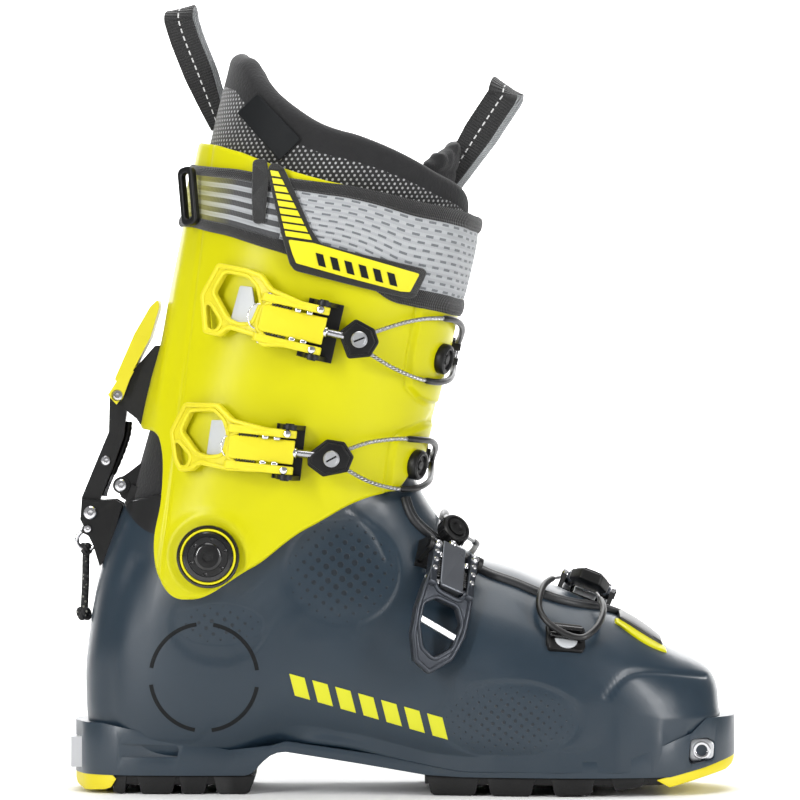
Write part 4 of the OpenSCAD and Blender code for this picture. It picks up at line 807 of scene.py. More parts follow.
# ------------------------------------------------------------------ liner
def padded_tube(name, bot, top, off_out, off_in, mat, rep, m_=26, n_=150, bulge=0.6, a0=-180, a1=180, body="cuff_body", dark=None, detail=None):
    AA = np.linspace(a0, a1, n_ + 1); AA = AA[:-1] if a1 - a0 >= 360 else AA; R = []
    nrm = 14
    for a in AA:
        zb, zt = lookS(bot, a), lookS(top, a); ring = []
        zt -= 4.2
        for j in range(m_ + 1): ring.append((zb + (zt - zb) * j / m_, off_out, 0))
        for k in range(1, nrm): u = math.pi * k / nrm; r = (off_out - off_in) / 2; ring.append((zt + r * 0.9 * math.sin(u), (off_out + off_in) / 2 + r * math.cos(u), 1))
        for j in range(m_, -1, -1): ring.append((zb + (zt - zb) * j / m_, off_in, 2))
        R.append([cpt(a, z, o + (0.9 * math.sin(math.radians(a * 7 + z)) * 0.3 if q != 2 else 0)) for z, o, q in ring])
    R = np.array(R); closed = a1 - a0 >= 360
    def UVf(j, i):
        a = a0 + (a1 - a0) * j / n_; i2 = i if i < R.shape[1] else 0; return (ulen(max(-180, min(180, a))), float(R[min(j, len(R) - 1), i2, 2]) * 0.001)
    V, F, uv = grid(R, cu=closed, cv=True, caps=not closed, UV=UVf)
    nper = R.shape[1]; mi = []
    for f_i in range(len(F)):
        i = f_i % nper
        mi.append(0 if i < m_ - 3 else 1)
    return obj(name, V, F, [mat, M["linerk"]], body, rep, 80, uv, mats=mi)


LT = [[0, 268], [22, 276], [45, 282], [70, 292], [100, 304], [125, 318], [150, 334], [180, 338]]
lin = padded_tube("liner_collar_pad", [[0, 186], [60, 184], [130, 180], [180, 180]], LT, -4.6, -14.0, M["liner"], ["liner_collar"], m_=44)


def puff(o, cap=3.0, pressure=4.0, voxel=0.0045, frames=20, sub=1):
    """pressure-inflate a padded piece, then keep it within cap mm of its start"""
    me = o.data.copy(); t = bpy.data.objects.new("puff", me); col.objects.link(t)
    md = t.modifiers.new("r", "REMESH"); md.mode = "VOXEL"; md.voxel_size = voxel
    dg = bpy.context.evaluated_depsgraph_get(); me2 = bpy.data.meshes.new_from_object(t.evaluated_get(dg)); t.modifiers.clear(); t.data = me2
    n = len(me2.vertices); rest = np.empty(n * 3); me2.vertices.foreach_get("co", rest); rest = rest.reshape(-1, 3)
    cl = t.modifiers.new("c", "CLOTH"); s = cl.settings; s.use_pressure = True; s.uniform_pressure_force = pressure; s.effector_weights.gravity = 0; s.quality = 4; s.mass = 0.3
    s.tension_stiffness = 15; s.compression_stiffness = 15; s.bending_stiffness = 1.0; cl.collision_settings.use_collision = False; cl.point_cache.frame_start = 1; cl.point_cache.frame_end = frames
    for f in range(1, frames + 1): bpy.context.scene.frame_set(f)
    dg = bpy.context.evaluated_depsgraph_get(); ev = t.evaluated_get(dg).to_mesh(); c = np.empty(n * 3); ev.vertices.foreach_get("co", c); c = c.reshape(-1, 3)
    d = c - rest; L = np.linalg.norm(d, axis=1, keepdims=True); c = rest + d * np.minimum(1, cap * 0.001 / np.maximum(L, 1e-9))
    bpy.context.scene.frame_set(1); t.modifiers.clear(); me2.vertices.foreach_set("co", c.ravel()); me2.update()
    if sub:
        md = t.modifiers.new("s", "SUBSURF"); md.levels = md.render_levels = sub
        dg = bpy.context.evaluated_depsgraph_get(); me3 = bpy.data.meshes.new_from_object(t.evaluated_get(dg)); t.modifiers.clear(); t.data = me3
    return t


# padded liner: the felt top rim, simulated under pressure, on the collar
TOP = [[a, z] for a, z in LT]
rimb = [[a, z - 9] for a, z in LT]
def rim_solid(name):
    R = []
    for a in np.linspace(-180, 180, 121)[:-1]:
        zb, zt = lookS(rimb, a), lookS(TOP, a); r = 5.0; c_off = -9.3; ring = []
        for k in range(16): u = 2 * math.pi * k / 16; ring.append(cpt(a, (zb + zt) / 2 - 2.0 - 4.0 * (1 - sstep(abs(a), 40, 85)) + 5.2 * math.sin(u), c_off + 5.0 * math.cos(u)))
        R.append(ring)
    V, F, _ = grid(np.array(R), cu=True, cv=True); return raw(V, F)


def finish_soft(o, name, mat, body, rep):
    o.name = name; o.data.name = name; o.data.materials.clear(); o.data.materials.append(mat)
    o.data.polygons.foreach_set("use_smooth", [True] * len(o.data.polygons))
    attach(o, body)
    if rep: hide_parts(*rep)
    return o


rs = rim_solid("rim")
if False: rim = rs
else: rim = puff(rs, cap=1.6, voxel=0.004, pressure=4); bpy.data.objects.remove(rs)
# segmented stitch channels round the rim
n = len(rim.data.vertices); c = np.empty(n * 3); rim.data.vertices.foreach_get("co", c); c = c.reshape(-1, 3)
th = np.degrees(np.arctan2(c[:, 1] * 1.25, c[:, 0] + 0.035)); u = ((th / 4.2) % 1.0 - 0.5); k_ = 1 - 0.10 * np.exp(-(u / 0.11) ** 2)
ctr = np.array([-0.036, 0, 0]); c[:, :2] = ctr[:2] + (c[:, :2] - ctr[:2]) * (1 - 0.012 * np.exp(-(u / 0.12) ** 2))[:, None]; c[:, 2] -= 0.0007 * np.exp(-(u / 0.12) ** 2)
rim.data.vertices.foreach_set("co", c.ravel())
finish_soft(rim, "liner_rim_pad", M["linerk"], "cuff_body", [])

# tongue: crowned padded plate, simulated, with a quilted rim
def tongue_solid():
    R = []
    for j in range(41):
        f = j / 40; z = 201 + 99 * f; w_ = 37 + 15 * sstep(f, 0.78, 1.0); ring = []
        for k in range(37): a = -w_ + 2 * w_ * k / 36; e = (a / w_) ** 2; ring.append(cpt(a, z - 15.0 * e * sstep(f, 0.78, 1), -15.6 - 2.2 * e ** 3 + 2.0 * sstep(f, 0.75, 1) * (1 - e)))
        for k in range(36, -1, -1): a = -w_ + 2 * w_ * k / 36; e = (a / w_) ** 2; ring.append(cpt(a, z - 15.0 * e * sstep(f, 0.78, 1), -22.4 + 1.6 * e ** 3 + 2.0 * sstep(f, 0.75, 1) * (1 - e)))
        R.append(ring)
    V, F, _ = grid(np.array(R), cv=True, caps=True); return raw(V, F)


tg = tongue_solid()
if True: t2 = puff(tg, cap=2.2, voxel=0.004, pressure=5); bpy.data.objects.remove(tg); tg = t2
n = len(tg.data.vertices); c = np.empty(n * 3); tg.data.vertices.foreach_get("co", c); c = c.reshape(-1, 3)
z = c[:, 2] * 1000; ch = np.exp(-((z - 283) / 0.9) ** 2) + np.exp(-((z - 262) / 0.9) ** 2) + np.exp(-((z - 240) / 0.9) ** 2); qx = np.exp(-(((c[:, 1] * 1000 / 5.2) % 1 - 0.5) / 0.12) ** 2) * sstep(z, 284, 287)
cc = np.array([-0.035, 0]); dirv = c[:, :2] - cc; dirv /= np.linalg.norm(dirv, axis=1, keepdims=True); c[:, :2] -= dirv * (0.0012 * ch + 0.0010 * qx)[:, None]
tg.data.vertices.foreach_set("co", c.ravel())
finish_soft(tg, "liner_tongue_pad", M["tongue"], "cuff_body", ["tongue"])

# liner foot lining, and a soft sleeve that joins it to the collar across the ankle
ang2 = np.radians(np.linspace(0, 360, 120, endpoint=False))
def lin_ring(t, off): return lring(t, off, ang2)
R = [lin_ring(t, 4.9) for t in np.linspace(3.2, 17.2, 70)] + [lin_ring(17.2, 6.0) + [0, 0, 1.2], lin_ring(17.2, 8.3) + [0, 0, 1.8], lin_ring(17.2, 10.6) + [0, 0, 1.2]] + [lin_ring(t, 11.7) for t in np.linspace(17.2, 3.8, 60)]
V, F, _ = grid(np.array(R), cv=True, caps=True)
lf = obj("liner_foot_pad", V, F, M["linerk"], "lower", ["liner_foot"], 80)
R = []
top_off = [-5.2, -13.4]
lo_ring = lin_ring(16.9, 5.4); lo_in = lin_ring(16.9, 11.2)
def col_ring(z, off): return np.array([cpt(math.degrees(a), z, off) for a in ang2])
up_o, up_i = col_ring(190, -6.2), col_ring(190, -12.6)
for k in range(25):
    f = k / 24; s_ = f * f * (3 - 2 * f); R.append(lo_ring * (1 - s_) + up_o * s_)
for k in range(24, -1, -1):
    f = k / 24; s_ = f * f * (3 - 2 * f); R.append(lo_in * (1 - s_) + up_i * s_)
R = np.array(R)
V, F, _ = grid(R, cu=True, cv=True)
sleeve = obj("liner_ankle_sleeve", V, F, M["linerk"], None, [], 80)
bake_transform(sleeve)

# plain label panel on the liner
def on_liner(c):
    out = np.empty_like(c)
    for k, (x, z, h) in enumerate(c):
        s = cfs(z); o = -4.6 + h; cxm = (s[1] + s[2]) / 2; hx = (s[2] - s[1]) / 2 + o; r = min(abs((x - cxm) / hx), 1.0)
        out[k] = (x, -(s[3] + o) * (1 - r ** 2.35) ** (1 / 2.35), z)
    return out * 0.001


LBL = rnd(px((239.5, 116), (260, 98), (303, 143), (282, 164.5)), 1.0)
curved("liner_label", [LBL], 0.2, 1.5, M["decalk"], [], None, bev=0.35, fn=on_liner)

# webbing pull loops: near leg, arch, far leg
def loop_band(name, P, y0, dx, hw, ht, w, rep):
    P = smooth_path([[q[0], 0, q[1]] for q in P], 6); e = P[-1]; n0 = len(P) - 1; w = np.array(w, float); w /= np.linalg.norm(w)
    bow = lambda i: 1 + 0.10 * math.sin(math.pi * i / n0)
    Q = [[P[i][0], -y0 * bow(i), P[i][2]] for i in range(n0)] + [[e[0] + dx * (1 - math.cos(t)) / 2, -y0 * math.cos(t), e[2] + 5 * math.sin(t)] for t in np.linspace(0, math.pi, 25)] + [[P[i][0] + dx, y0 * bow(i), P[i][2]] for i in range(n0 - 1, -1, -1)]
    Q = np.array(Q); n = len(Q); T = np.gradient(Q, axis=0); T /= np.linalg.norm(T, axis=1, keepdims=True); s_ = np.r_[0, np.cumsum(np.linalg.norm(np.diff(Q, axis=0), axis=1))] * 0.001
    us = [-1, -0.97, -0.86, -0.7, -0.35, 0, 0.35, 0.7, 0.86, 0.97, 1]; th_ = [0.45, 0.95, 1.12, 0.95, 0.95, 0.95, 0.95, 0.95, 1.12, 0.95, 0.45]
    prof = [(u, t) for u, t in zip(us, th_)] + [(u, -t) for u, t in zip(us[::-1], th_[::-1])]
    R = []
    for i in range(n):
        x = w - (w @ T[i]) * T[i]; x /= np.linalg.norm(x); m_ = np.cross(T[i], x); f = min(1, 0.5 + 0.5 * min(i, n - 1 - i) / (n0 * 0.55))
        R.append([Q[i] + x * hw * f * a + m_ * ht * b_ for a, b_ in prof])
    k = len(prof)
    V, F, uv = grid(np.array(R), cv=True, caps=True, UV=lambda j, i: (s_[min(j, n - 1)], prof[i % k][0] * 0.0066))
    out = np.array([[R[j][5]] for j in range(n)]); mats = [0 if (fi % k) < 10 else 1 for fi in range(len(F))]
    a0 = R[2][5] - Q[2]
    if a0[1] > 0: mats = [1 - v for v in mats]
    return obj(name, V, F, [M["loop"], M["loopin"]], "cuff_body", rep, 60, uv, mats=mats)


RL = [[-85.6, 303], [-87.6, 309], [-91.4, 319], [-96, 331], [-101, 343.6], [-104, 353]]
FL = [[14, 271], [20, 280], [27.6, 292], [35, 303.6], [41.6, 313.6], [44.6, 318]]
loop_band("rear_pull_loop", RL, 6, 2.5, 6.6, 0.7, [0.97, 0, 0.24], ["rear_loop"])
loop_band("front_pull_loop", FL, 8, 3.5, 6.8, 0.7, [0.82, 0, -0.57], ["front_loop"])

# loop at the back of the strap
FLB = fr([[-97, -34, 271], [-0.62, -0.78, 0.1], [0.78, -0.62, 0.2]])
outl = rnd([[-4, -13.6], [5, -13.6], [5, 13.6], [-4, 13.6]], 3.6, 6); inl = rnd([[-1.2, -10.6], [2.2, -10.6], [2.2, 10.6], [-1.2, 10.6]], 1.4, 5)
plate("strap_keeper", [outl, inl], 0.6, 4.2, FLB, M["black"], "cuff_body", ["strap_loop"], bev=0.9, res=3)

# ------------------------------------------------------------------ seal, plug, fittings, pivots
SEAL = [[12.2, -31], [11.6, -34], [10.8, -36], [10, -33], [9.4, -27], [8.8, -22], [8, -25], [7.2, -28], [6.5, -29], [5.9, -24], [5.4, -12], [5, -2]]
SP = np.array([lpt(*cat(SEAL, i * 11 / 110), 0.2) for i in range(111)])
prof = np.array([[0.98 * math.cos(a) * (1.0 - 0.16 * math.exp(-((math.degrees(a) - 90) / 18) ** 2)), 0.98 * math.sin(a) * (1.0 - 0.30 * math.exp(-((math.degrees(a) - 90) / 16) ** 2))] for a in np.linspace(0, 2 * math.pi, 26)[:-1]])
tube("instep_seal_strip", SP, 2.7, M["seal"], "lower", ["instep_seal"], profile=prof, sides=25)
def shell_patch(name, tt, aa, o0, o1, mat, rep, crown=0.0, taper=None, n=26, m_=26):
    R = []
    for j in range(m_ + 1):
        f = j / m_; t = tt[0] + (tt[1] - tt[0]) * f; w = taper(f) if taper else 1.0; row = []
        for k in range(n + 1): g = k / n; a = aa[0] + (aa[1] - aa[0]) * (0.5 + (g - 0.5) * w); e = min(1, 4 * g * (1 - g) * 6) * min(1, 4 * f * (1 - f) * 6); row.append(lpt(t, a, o0 + (o1 - o0) * e ** 0.5 + crown * math.sin(math.pi * g) * math.sin(math.pi * f)))
        for k in range(n, -1, -1): g = k / n; a = aa[0] + (aa[1] - aa[0]) * (0.5 + (g - 0.5) * w); row.append(lpt(t, a, o0 - 0.6))
        R.append(row)
    V, F, _ = grid(np.array(R), cv=True, caps=True)
    return obj(name, V, F, mat, "lower", rep, 60)


shell_patch("toe_cap_plug", (4.12, 5.12), (-24, 20), -0.4, 2.6, M["grey2"] if "grey2" in M else M["seal"], ["toe_plug"], crown=0.7, taper=lambda f: 0.55 + 0.45 * math.sin(math.pi * (0.25 + 0.5 * f)))
shell_patch("toe_cap_rim", (4.02, 5.2), (-34, -14), -0.4, 1.1, M["cuff"], [], taper=lambda f: 0.25 + 0.75 * math.sin(math.pi * min(1, max(0, f))))

for s in (-1, 1):
    L_ = "outer" if s < 0 else "inner"
    # toe fitting: oval insert with a cupped socket
    ov = rnd([[129.3, 16.2], [130.6, 14.2], [140.2, 15.8], [140.7, 22.8], [137.2, 25.0], [130, 24.6]], 2.6, 6); hol = [[135 + 2.6 * math.cos(a), 19.5 + 2.6 * math.sin(a)] for a in np.linspace(0, 2 * math.pi, 29)[:-1]]
    me = plate_mesh([ov, hol], 29.2, 30.4 + 0.0, 0.4, 2)
    map_mesh(me, lambda c: np.c_[c[:, 0], s * c[:, 2], c[:, 1]] * 0.001); me.name = "toe_insert_" + L_
    finish_obj("toe_insert_" + L_, me, M["alloy"], "lower", [], 30)
    lathe("toe_socket_" + L_, [(0.01, -4.6), (1.2, -4.4), (2.1, -3.4), (2.3, -0.8), (2.6, 0.35), (3.3, 0.62), (4.4, 0.35), (5.2, -0.1), (5.6, -2), (5.6, -9), (0.01, -9)], (135, s * 30.0, 19.5), (0, s, 0), M["chrome"], "lower", ["toe_fittings"] if s < 0 else [], 40)

for n_, mt, bv in (("heel_fitting", "alloy", .5), ("sole_screws", "chrome", .3), ("footbed", "felt", 1.2), ("spoiler", "black", .7), ("lock_bracket", "black", .35), ("cuff_bracket", "black", .6), ("lock_link", "black", .7), ("top_pin", "chrome", .3),
                   ("instep_base", "black", .45), ("toe_base", "black", .45), ("upper_base", "black", .45), ("lower_base", "black", .45), ("pull_ring", "chrome", 0), ("walk_lever", "ylev", .7), ("release_wire", "chrome", 0), ("pivot_hubs", "black", .4), ("pivot_bushes", "black", .35)):
    o = frame["nodes"][n_]; o.data.materials.clear(); o.data.materials.append(M[mt])
    for p in o.data.polygons: p.material_index = 0
    if bv:
        md = o.modifiers.new("bevel", "BEVEL"); md.width = bv * 0.001; md.segments = 2; md.limit_method = "ANGLE"; md.angle_limit = math.radians(35)
        o.data.polygons.foreach_set("use_smooth", [True] * len(o.data.polygons)); md.harden_normals = False
        w = o.modifiers.new("wn", "WEIGHTED_NORMAL")

# ------------------------------------------------------------------ buckles
C13, S13 = math.cos(math.radians(13)), math.sin(math.radians(13)); C6, S6 = math.cos(math.radians(6)), math.sin(math.radians(6))
FU = fr([[-39.1, -68, 210.7], [0, -1, 0], [C13, 0, -S13]]); FLO = fr([[-52.9, -64.6, 155.9], [0, -1, 0], [C6, 0, -S6]])
FI = fr([[22, -36, 109], [0.52, -0.66, 0.54], [0.06, 0.67, 0.74]]); FT = fr([[85, 20, 92.5], [0.37, 0.3, 0.88], [0.06, -1, 0.3]])


def cable(name, pts, on, off, r, body, rep, sleeve_from, ends=None, n=126):
    T_ = len(pts); k = n / (T_ - 1) * 1.0
    P = np.array([on(*cat(pts, i * (T_ - 1) / n), off) for i in range(n + 1)])
    if ends:
        if np.linalg.norm(P[0] - ends[0]) + np.linalg.norm(P[n] - ends[1]) > np.linalg.norm(P[0] - ends[1]) + np.linalg.norm(P[n] - ends[0]): ends = ends[::-1]
        for A_, idx_ in ((ends[0], range(0, 16)), (ends[1], range(n, n - 16, -1))):
            d0 = np.array(A_) - P[idx_[0]]
            for q_, i in enumerate(idx_): P[i] = P[i] + d0 * (1 - sstep(q_, 0, 15))
    a, b = sleeve_from
    hexp = np.array([[math.cos(t) * (1 + 0.07 * math.cos(7 * t)), math.sin(t) * (1 + 0.07 * math.cos(7 * t))] for t in np.linspace(0, 2 * math.pi, 29)[:-1]])
    o = tube(name + "_strand", P, r * 0.62, M["cable"], body, rep, 16)
    tube(name + "_sleeve", P[a:b + 1], [r * 0.98 if 1 <= i <= b - a - 1 else r * 0.7 for i in range(b - a + 1)], M["sleeve"], body, [], 18)
    for nm, i in (("a", a), ("b", b)):
        seg = P[max(i - 1, 0):i + 2]
    return P


def slot_screw(name, f, x, y, z, r, body, rep=(), mat="alloy", h=1.3):
    p = loc(f, (x, y, z)); ax = f[3]
    lathe(name + "_rim", [(0.01, -0.5), (r, -0.5), (r, h * 0.72), (r - 0.35, h), (r - 0.95, h), (r - 1.1, h * 0.62), (0.01, h * 0.62)], p, ax, M[mat], body, rep, 40, 30)
    c = math.cos(0.6); s_ = math.sin(0.6); w, l = 0.42, r - 1.15
    pts = np.array([[-l, -w], [l, -w], [l, w], [-l, w]]) @ np.array([[c, s_], [-s_, c]])
    g = (f[0] + x * f[1] + y * f[2] + (z + h * 0.62) * f[3], f[1], f[2], f[3])
    plate(name + "_slot", [pts], 0.0, 0.12, g, M["blackgloss"], body, [], bev=0.02, res=0)
    pts2 = pts @ np.array([[0, 1], [-1, 0]])
    return p


def rivet(name, f, x, z, ya, yb, r, body, mat="chrome"):
    a = loc(f, (x, ya, z)); b = loc(f, (x, yb, z)); d = 1 if yb > ya else -1
    L = abs(yb - ya)
    lathe(name, [(0.01, 0), (r * 0.9, 0), (r, 0.2), (r, L - 0.6), (r * 0.86, L - 0.15), (r * 0.5, L + 0.1), (r * 0.42, L - 0.15), (0.01, L - 0.2)], a, (b - a), M[mat], body, [], 28, 40)


def spring(name, f, x0, x1, y, z, r, wire, turns, mat, body):
    n = int(turns * 14); P = [loc(f, (x0 + (x1 - x0) * i / n, y + r * math.cos(2 * math.pi * turns * i / n), z + r * math.sin(2 * math.pi * turns * i / n))) for i in range(n + 1)]
    tube(name, P, wire, mat, body, [], 8)


def zarc(x, R): return math.sqrt(max(R * R - x * x, 0)) - R


def shrink_safe(P, d):
    """inset of a rounded outline: each point moves along the mean normal of a wide window, so tight corners stay smooth"""
    P = np.asarray(P, float); L = np.r_[0, np.cumsum(np.linalg.norm(np.diff(np.vstack([P, P[:1]]), axis=0), axis=1))]; n = int(L[-1] / 0.7)
    s_ = np.linspace(0, L[-1], n, endpoint=False); Q = np.c_[np.interp(s_, L, np.r_[P[:, 0], P[0, 0]]), np.interp(s_, L, np.r_[P[:, 1], P[0, 1]])]
    A = 0.5 * (np.roll(Q, 1, 0)[:, 0] * Q[:, 1] - Q[:, 0] * np.roll(Q, 1, 0)[:, 1]).sum(); sg = 1 if A > 0 else -1
    T = np.roll(Q, -2, 0) - np.roll(Q, 2, 0); N = np.c_[-T[:, 1], T[:, 0]]; N /= np.linalg.norm(N, axis=1, keepdims=True); Q = Q + sg * d * N
    for _ in range(3): Q = (np.roll(Q, 1, 0) + 2 * Q + np.roll(Q, -1, 0)) / 4
    return Q


def bead(name, Q, z, rw, rh, R, f, mat, body):
    """raised bead along a closed 2D line on the bent plate"""
    n = len(Q); T = np.roll(Q, -1, 0) - np.roll(Q, 1, 0); T /= np.linalg.norm(T, axis=1, keepdims=True); N = np.c_[-T[:, 1], T[:, 0]]; a = np.arange(14) * 2 * np.pi / 14; rings = []
    for i in range(n):
        q = Q[i][None, :] + N[i][None, :] * (rw * spow(np.cos(a), 0.8))[:, None]; h = z + rh * spow(np.sin(a), 0.8)
        x = (R + h) * np.sin(q[:, 0] / R); zz = (R + h) * np.cos(q[:, 0] / R) - R; rings.append(f[0] + x[:, None] * f[1] + q[:, 1:2] * f[2] + zz[:, None] * f[3])
    V, F, _ = grid(np.array(rings), cu=True, cv=True)
    return obj(name, V, F, mat, body, [], 80)


def bent_lever(name, outer, win, R, w, x2, f, mat, body, rep, ribs=(), arm_gap=6.4, th=1.9):
    """forged lever: bent plate with raised rims, two arms with eyes"""
    loops = [outer] + win
    plate(name + "_plate", loops, -1.9 + 0.0, 1.5, f, mat, body, rep, bev=0.6, bend=R, res=3)
    bead(name + "_rim", shrink_safe(outer, 1.15), 1.45, 1.15, 0.95, R, f, mat, body)
    for i, wn in enumerate(win): bead(name + "_window_rim_%d" % i, shrink_safe(wn, -1.0), 1.35, 0.95, 0.8, R, f, mat, body)
    for i, (poly, h0, h1) in enumerate(ribs): plate(name + "_rib_%d" % i, [poly], h0, h1, f, mat, body, [], bev=min(0.4, (h1 - h0) / 2 - 0.05), bend=R, res=2)
    z2 = zarc(x2, R)
    for s in (-1, 1):
        y0, y1 = (w - 3.6, w) if s > 0 else (-w, -w + 3.6)
        # arm side plate seen from y: local x, z
        g = (f[0], f[1], f[3], -f[2])
        arm = rnd([[x2 - 4.5, z2 - 2.6], [x2 - 3.5, z2 + 3.1], [-14, zarc(-14, R) + 2.1], [-6, 2.4], [0, 3.7], [3.4, 1.6], [3.5, -2], [1, -3.6], [-4, -2.9], [-14, zarc(-14, R) - 2.6]], 1.6, 4)
        plate(name + "_arm_%s" % ("a" if s < 0 else "b"), [arm], -y1, -y0, g, mat, body, [], bev=0.55, res=3)
        lathe(name + "_dome_%s" % ("a" if s < 0 else "b"), [(0.01, -1), (1.9, -1), (1.9, 0.2), (1.5, 0.9), (0.8, 1.2), (0.01, 1.25)], loc(f, (-0.8, (y0 + y1) / 2, 3.3)), f[3], M["chrome"], body, [], 24)
        ye = y1 if s > 0 else y0; yo = ye + 1.1 * s
        rivet(name + "_eye_rivet_%s" % ("a" if s < 0 else "b"), f, 0, 0, ye - 1.2 * s, yo + 1.4 * s, 2.0, body)
        rivet(name + "_mid_rivet_%s" % ("a" if s < 0 else "b"), f, x2, z2, ye - 1.0 * s, ye + 0.9 * s, 1.9, body)


def block_set(pre, f, R, w, x2, l, bw, mat, body, rep, rod_to):
    z2 = zarc(x2, R)
    g = (f[0] + z2 * f[3], f[1], f[2], f[3])
    plate(pre + "_block_body", [rnd([[x2 - 2.6, -bw + 0.8], [x2 - 0.6, -bw], [l, -bw], [l, bw], [x2 - 0.6, bw], [x2 - 2.6, bw - 0.8]], 0.7, 3)], -2.6, 2.75, g, mat, body, rep, bev=0.55, res=3)
    a = loc(f, (l - 0.6, 0, z2)); b = loc(f, (rod_to, 0, z2))
    L = rod_to - l + 0.6
    prof = [(0.01, 0), (2.7, 0), (2.9, 0.4), (2.9, 1.5), (2.3, 1.9), (1.7, 2.0)]; x = 2.1
    while x < L - 0.5: prof += [(1.95, x), (1.6, x + 0.32)]; x += 0.62
    prof += [(1.6, L), (0.01, L)]
    lathe(pre + "_rod", prof, a, b - a, M["chrome"], body, [], 24, 25)
    rivet(pre + "_cross_pin", f, x2, z2, -w + 3.9, w - 3.9, 1.5, body)


def arm_springs(pre, f, R, w, x2, bw, body, mat="blackgloss"):
    z2 = zarc(x2, R)
    for s in (-1, 1):
        y = s * (bw + (w - 3.6)) / 2; q = "a" if s < 0 else "b"
        spring(pre + "_spring_" + q, f, x2 + 1.5, x2 + 10.5, y, z2 * 0.6 + 0.4, min(1.15, (w - 3.6 - bw) / 2 - 0.15 + 0.5), 0.33, 7, M[mat], body)
        for i, xx in enumerate((x2 + 12.2, x2 + 17.5)):
            if xx < -2: lathe(pre + "_collar_%s%d" % (q, i), [(0.01, 0), (1.2, 0), (1.35, 0.3), (1.35, 2.2), (1.2, 2.5), (0.01, 2.5)], loc(f, (xx, y, zarc(xx, R) + 0.5)), f[1], M["chrome"], body, [], 20)


UP_OUT = rnd([[-58.5, 3.6], [-53, 19.4], [-38.6, 19.9], [-30.3, 19], [-24, 13.8], [-9, 10.8], [3, 10.8], [3, -10.8], [-13, -10.8], [-23, -12.9], [-27.6, -9.2], [-40, -8.3], [-44, -12.9], [-52.2, -13]], 4)
UP_ALL = [[-58.5, 3.6], [-53, 19.4], [-38.6, 19.9], [-30.3, 19], [-24, 13.8], [-17.5, 12.0], [-17.5, 7.4], [-24.5, 6.9], [-27.5, 3], [-28, -3.2], [-24.5, -7.2], [-17.5, -7.4], [-17.5, -11.6], [-23, -12.9], [-27.6, -9.2], [-40, -8.3], [-44, -12.9], [-52.2, -13]]
UP_ARM = rnd([[-58.5, 3.6], [-53, 19.4], [-38.6, 19.9], [-30.3, 19], [-24, 13.8], [-9, 10.9], [1.5, 10.9], [1.5, 7.4], [-21, 7.4], [-25.4, 4.6], [-26.4, -4.4], [-22, -7.4], [1.5, -7.4], [1.5, -10.9], [-13, -10.9], [-23, -12.9], [-27.6, -9.4], [-40, -8.6], [-44, -12.9], [-52.2, -13]], 1.6, 4)
UP_W1 = rnd([[-51.6, 6.2], [-48.2, 15.6], [-37, 15.8], [-31.6, 12.4], [-28.6, 6.2], [-30.4, -3.2], [-36.6, -4.6], [-41.2, -3.6]], 1.8, 4)
UP_W2 = rnd([[-55.0, 2.2], [-44.8, -6.4], [-46.6, -10.4], [-50.6, -10.2]], 1.2, 4)
bent_lever("upper_lever", UP_ARM, [UP_W1, UP_W2], 90, 11, -24, FU, M["ylev"], "up_lever", ["upper_lever"])
LO_ARM = rnd([[-58.2, 3.6], [-51.3, 17.2], [-33.8, 18.6], [-25.7, 12.4], [-10, 10.1], [1.5, 10.1], [1.5, 6.6], [-21, 6.6], [-25.2, 4.2], [-26, -4.2], [-22, -6.6], [1.5, -6.6], [1.5, -10.1], [-10, -10.1], [-26, -11.2], [-40, -9.8], [-44, -13.2], [-50, -14.2], [-54, -9.6]], 1.6, 4)
LO_W1 = rnd([[-51.6, 4.4], [-47.4, 13.2], [-35.4, 14.6], [-30.6, 10.6], [-28.2, 5.2], [-29.6, -3.8], [-36.6, -5.2], [-42, -4.2]], 1.8, 4)
LO_W2 = rnd([[-55.2, 0.6], [-45.6, -6.8], [-46.8, -11], [-51, -11]], 1.2, 4)
bent_lever("lower_lever", LO_ARM, [LO_W1, LO_W2], 78, 10, -24, FLO, M["ylev"], "lo_lever", ["lower_lever"])

for pre, f, R, w, bw, hb, lb in (("upper", FU, 90, 11, 6.2, "up_hook", "up_lever"), ("lower", FLO, 78, 10, 5.4, "lo_hook", "lo_lever")):
    block_set(pre, f, R, w, -24, 3, bw, M["ylev"], hb, [pre + "_block"], 12.5)
    arm_springs(pre, f, R, w, -24, bw, lb)
    wp = rnd([[-40.4, -5.4], [-39.6, 11.6], [-33.6, 12.2], [-30.6, 5.2], [-24.4, 3.6], [-24.4, -3.8], [-30, -5.0]], 0.9, 3)
    k = 1.0 if pre == "upper" else 0.92
    g2 = (f[0] - 3.2 * f[3], f[1], f[2], f[3])
    plate(pre + "_wear_plate", [wp * k], 0.2, 1.2, g2, M["steelw"] if "steelw" in M else M["white"], lb, [], bev=0.25, bend=R)
    ringp = [loc(f, (-27.5 * k - 4.6 * math.sin(t), 5.6 * k * math.cos(t), zarc(-28, R) + 2.1)) for t in np.linspace(0.05, math.pi - 0.05, 34)]
    tube(pre + "_spring_wire", ringp, 0.38, M["chrome"], lb, [], 10)
HU = [[9, 1], [15.4, 8.8], [24.6, 6.2], [28, 0.8], [25.6, -6.4], [15.9, -9.6]]
HL = [[9, 0], [17, 7.6], [25, 7.2], [30, 1], [28, -6], [17, -9.4], [9.6, -5]]
for pre, f, H, sc, hb in (("upper", FU, HU, (19, 0), "up_hook"), ("lower", FLO, HL, (20, -1), "lo_hook")):
    h = rnd(H, 1.8, 4)
    plate(pre + "_head_body", [h], -7.8, -2.5, f, M["black"], hb, [pre + "_head"], bev=0.8, res=3)
    plate(pre + "_head_facet", [shrink(h, 1.5)], -3.2, -1.35, f, M["black"], hb, [], bev=0.65, res=2)
    slot_screw(pre + "_head_screw", f, sc[0], sc[1], -1.5, 3.7, hb)
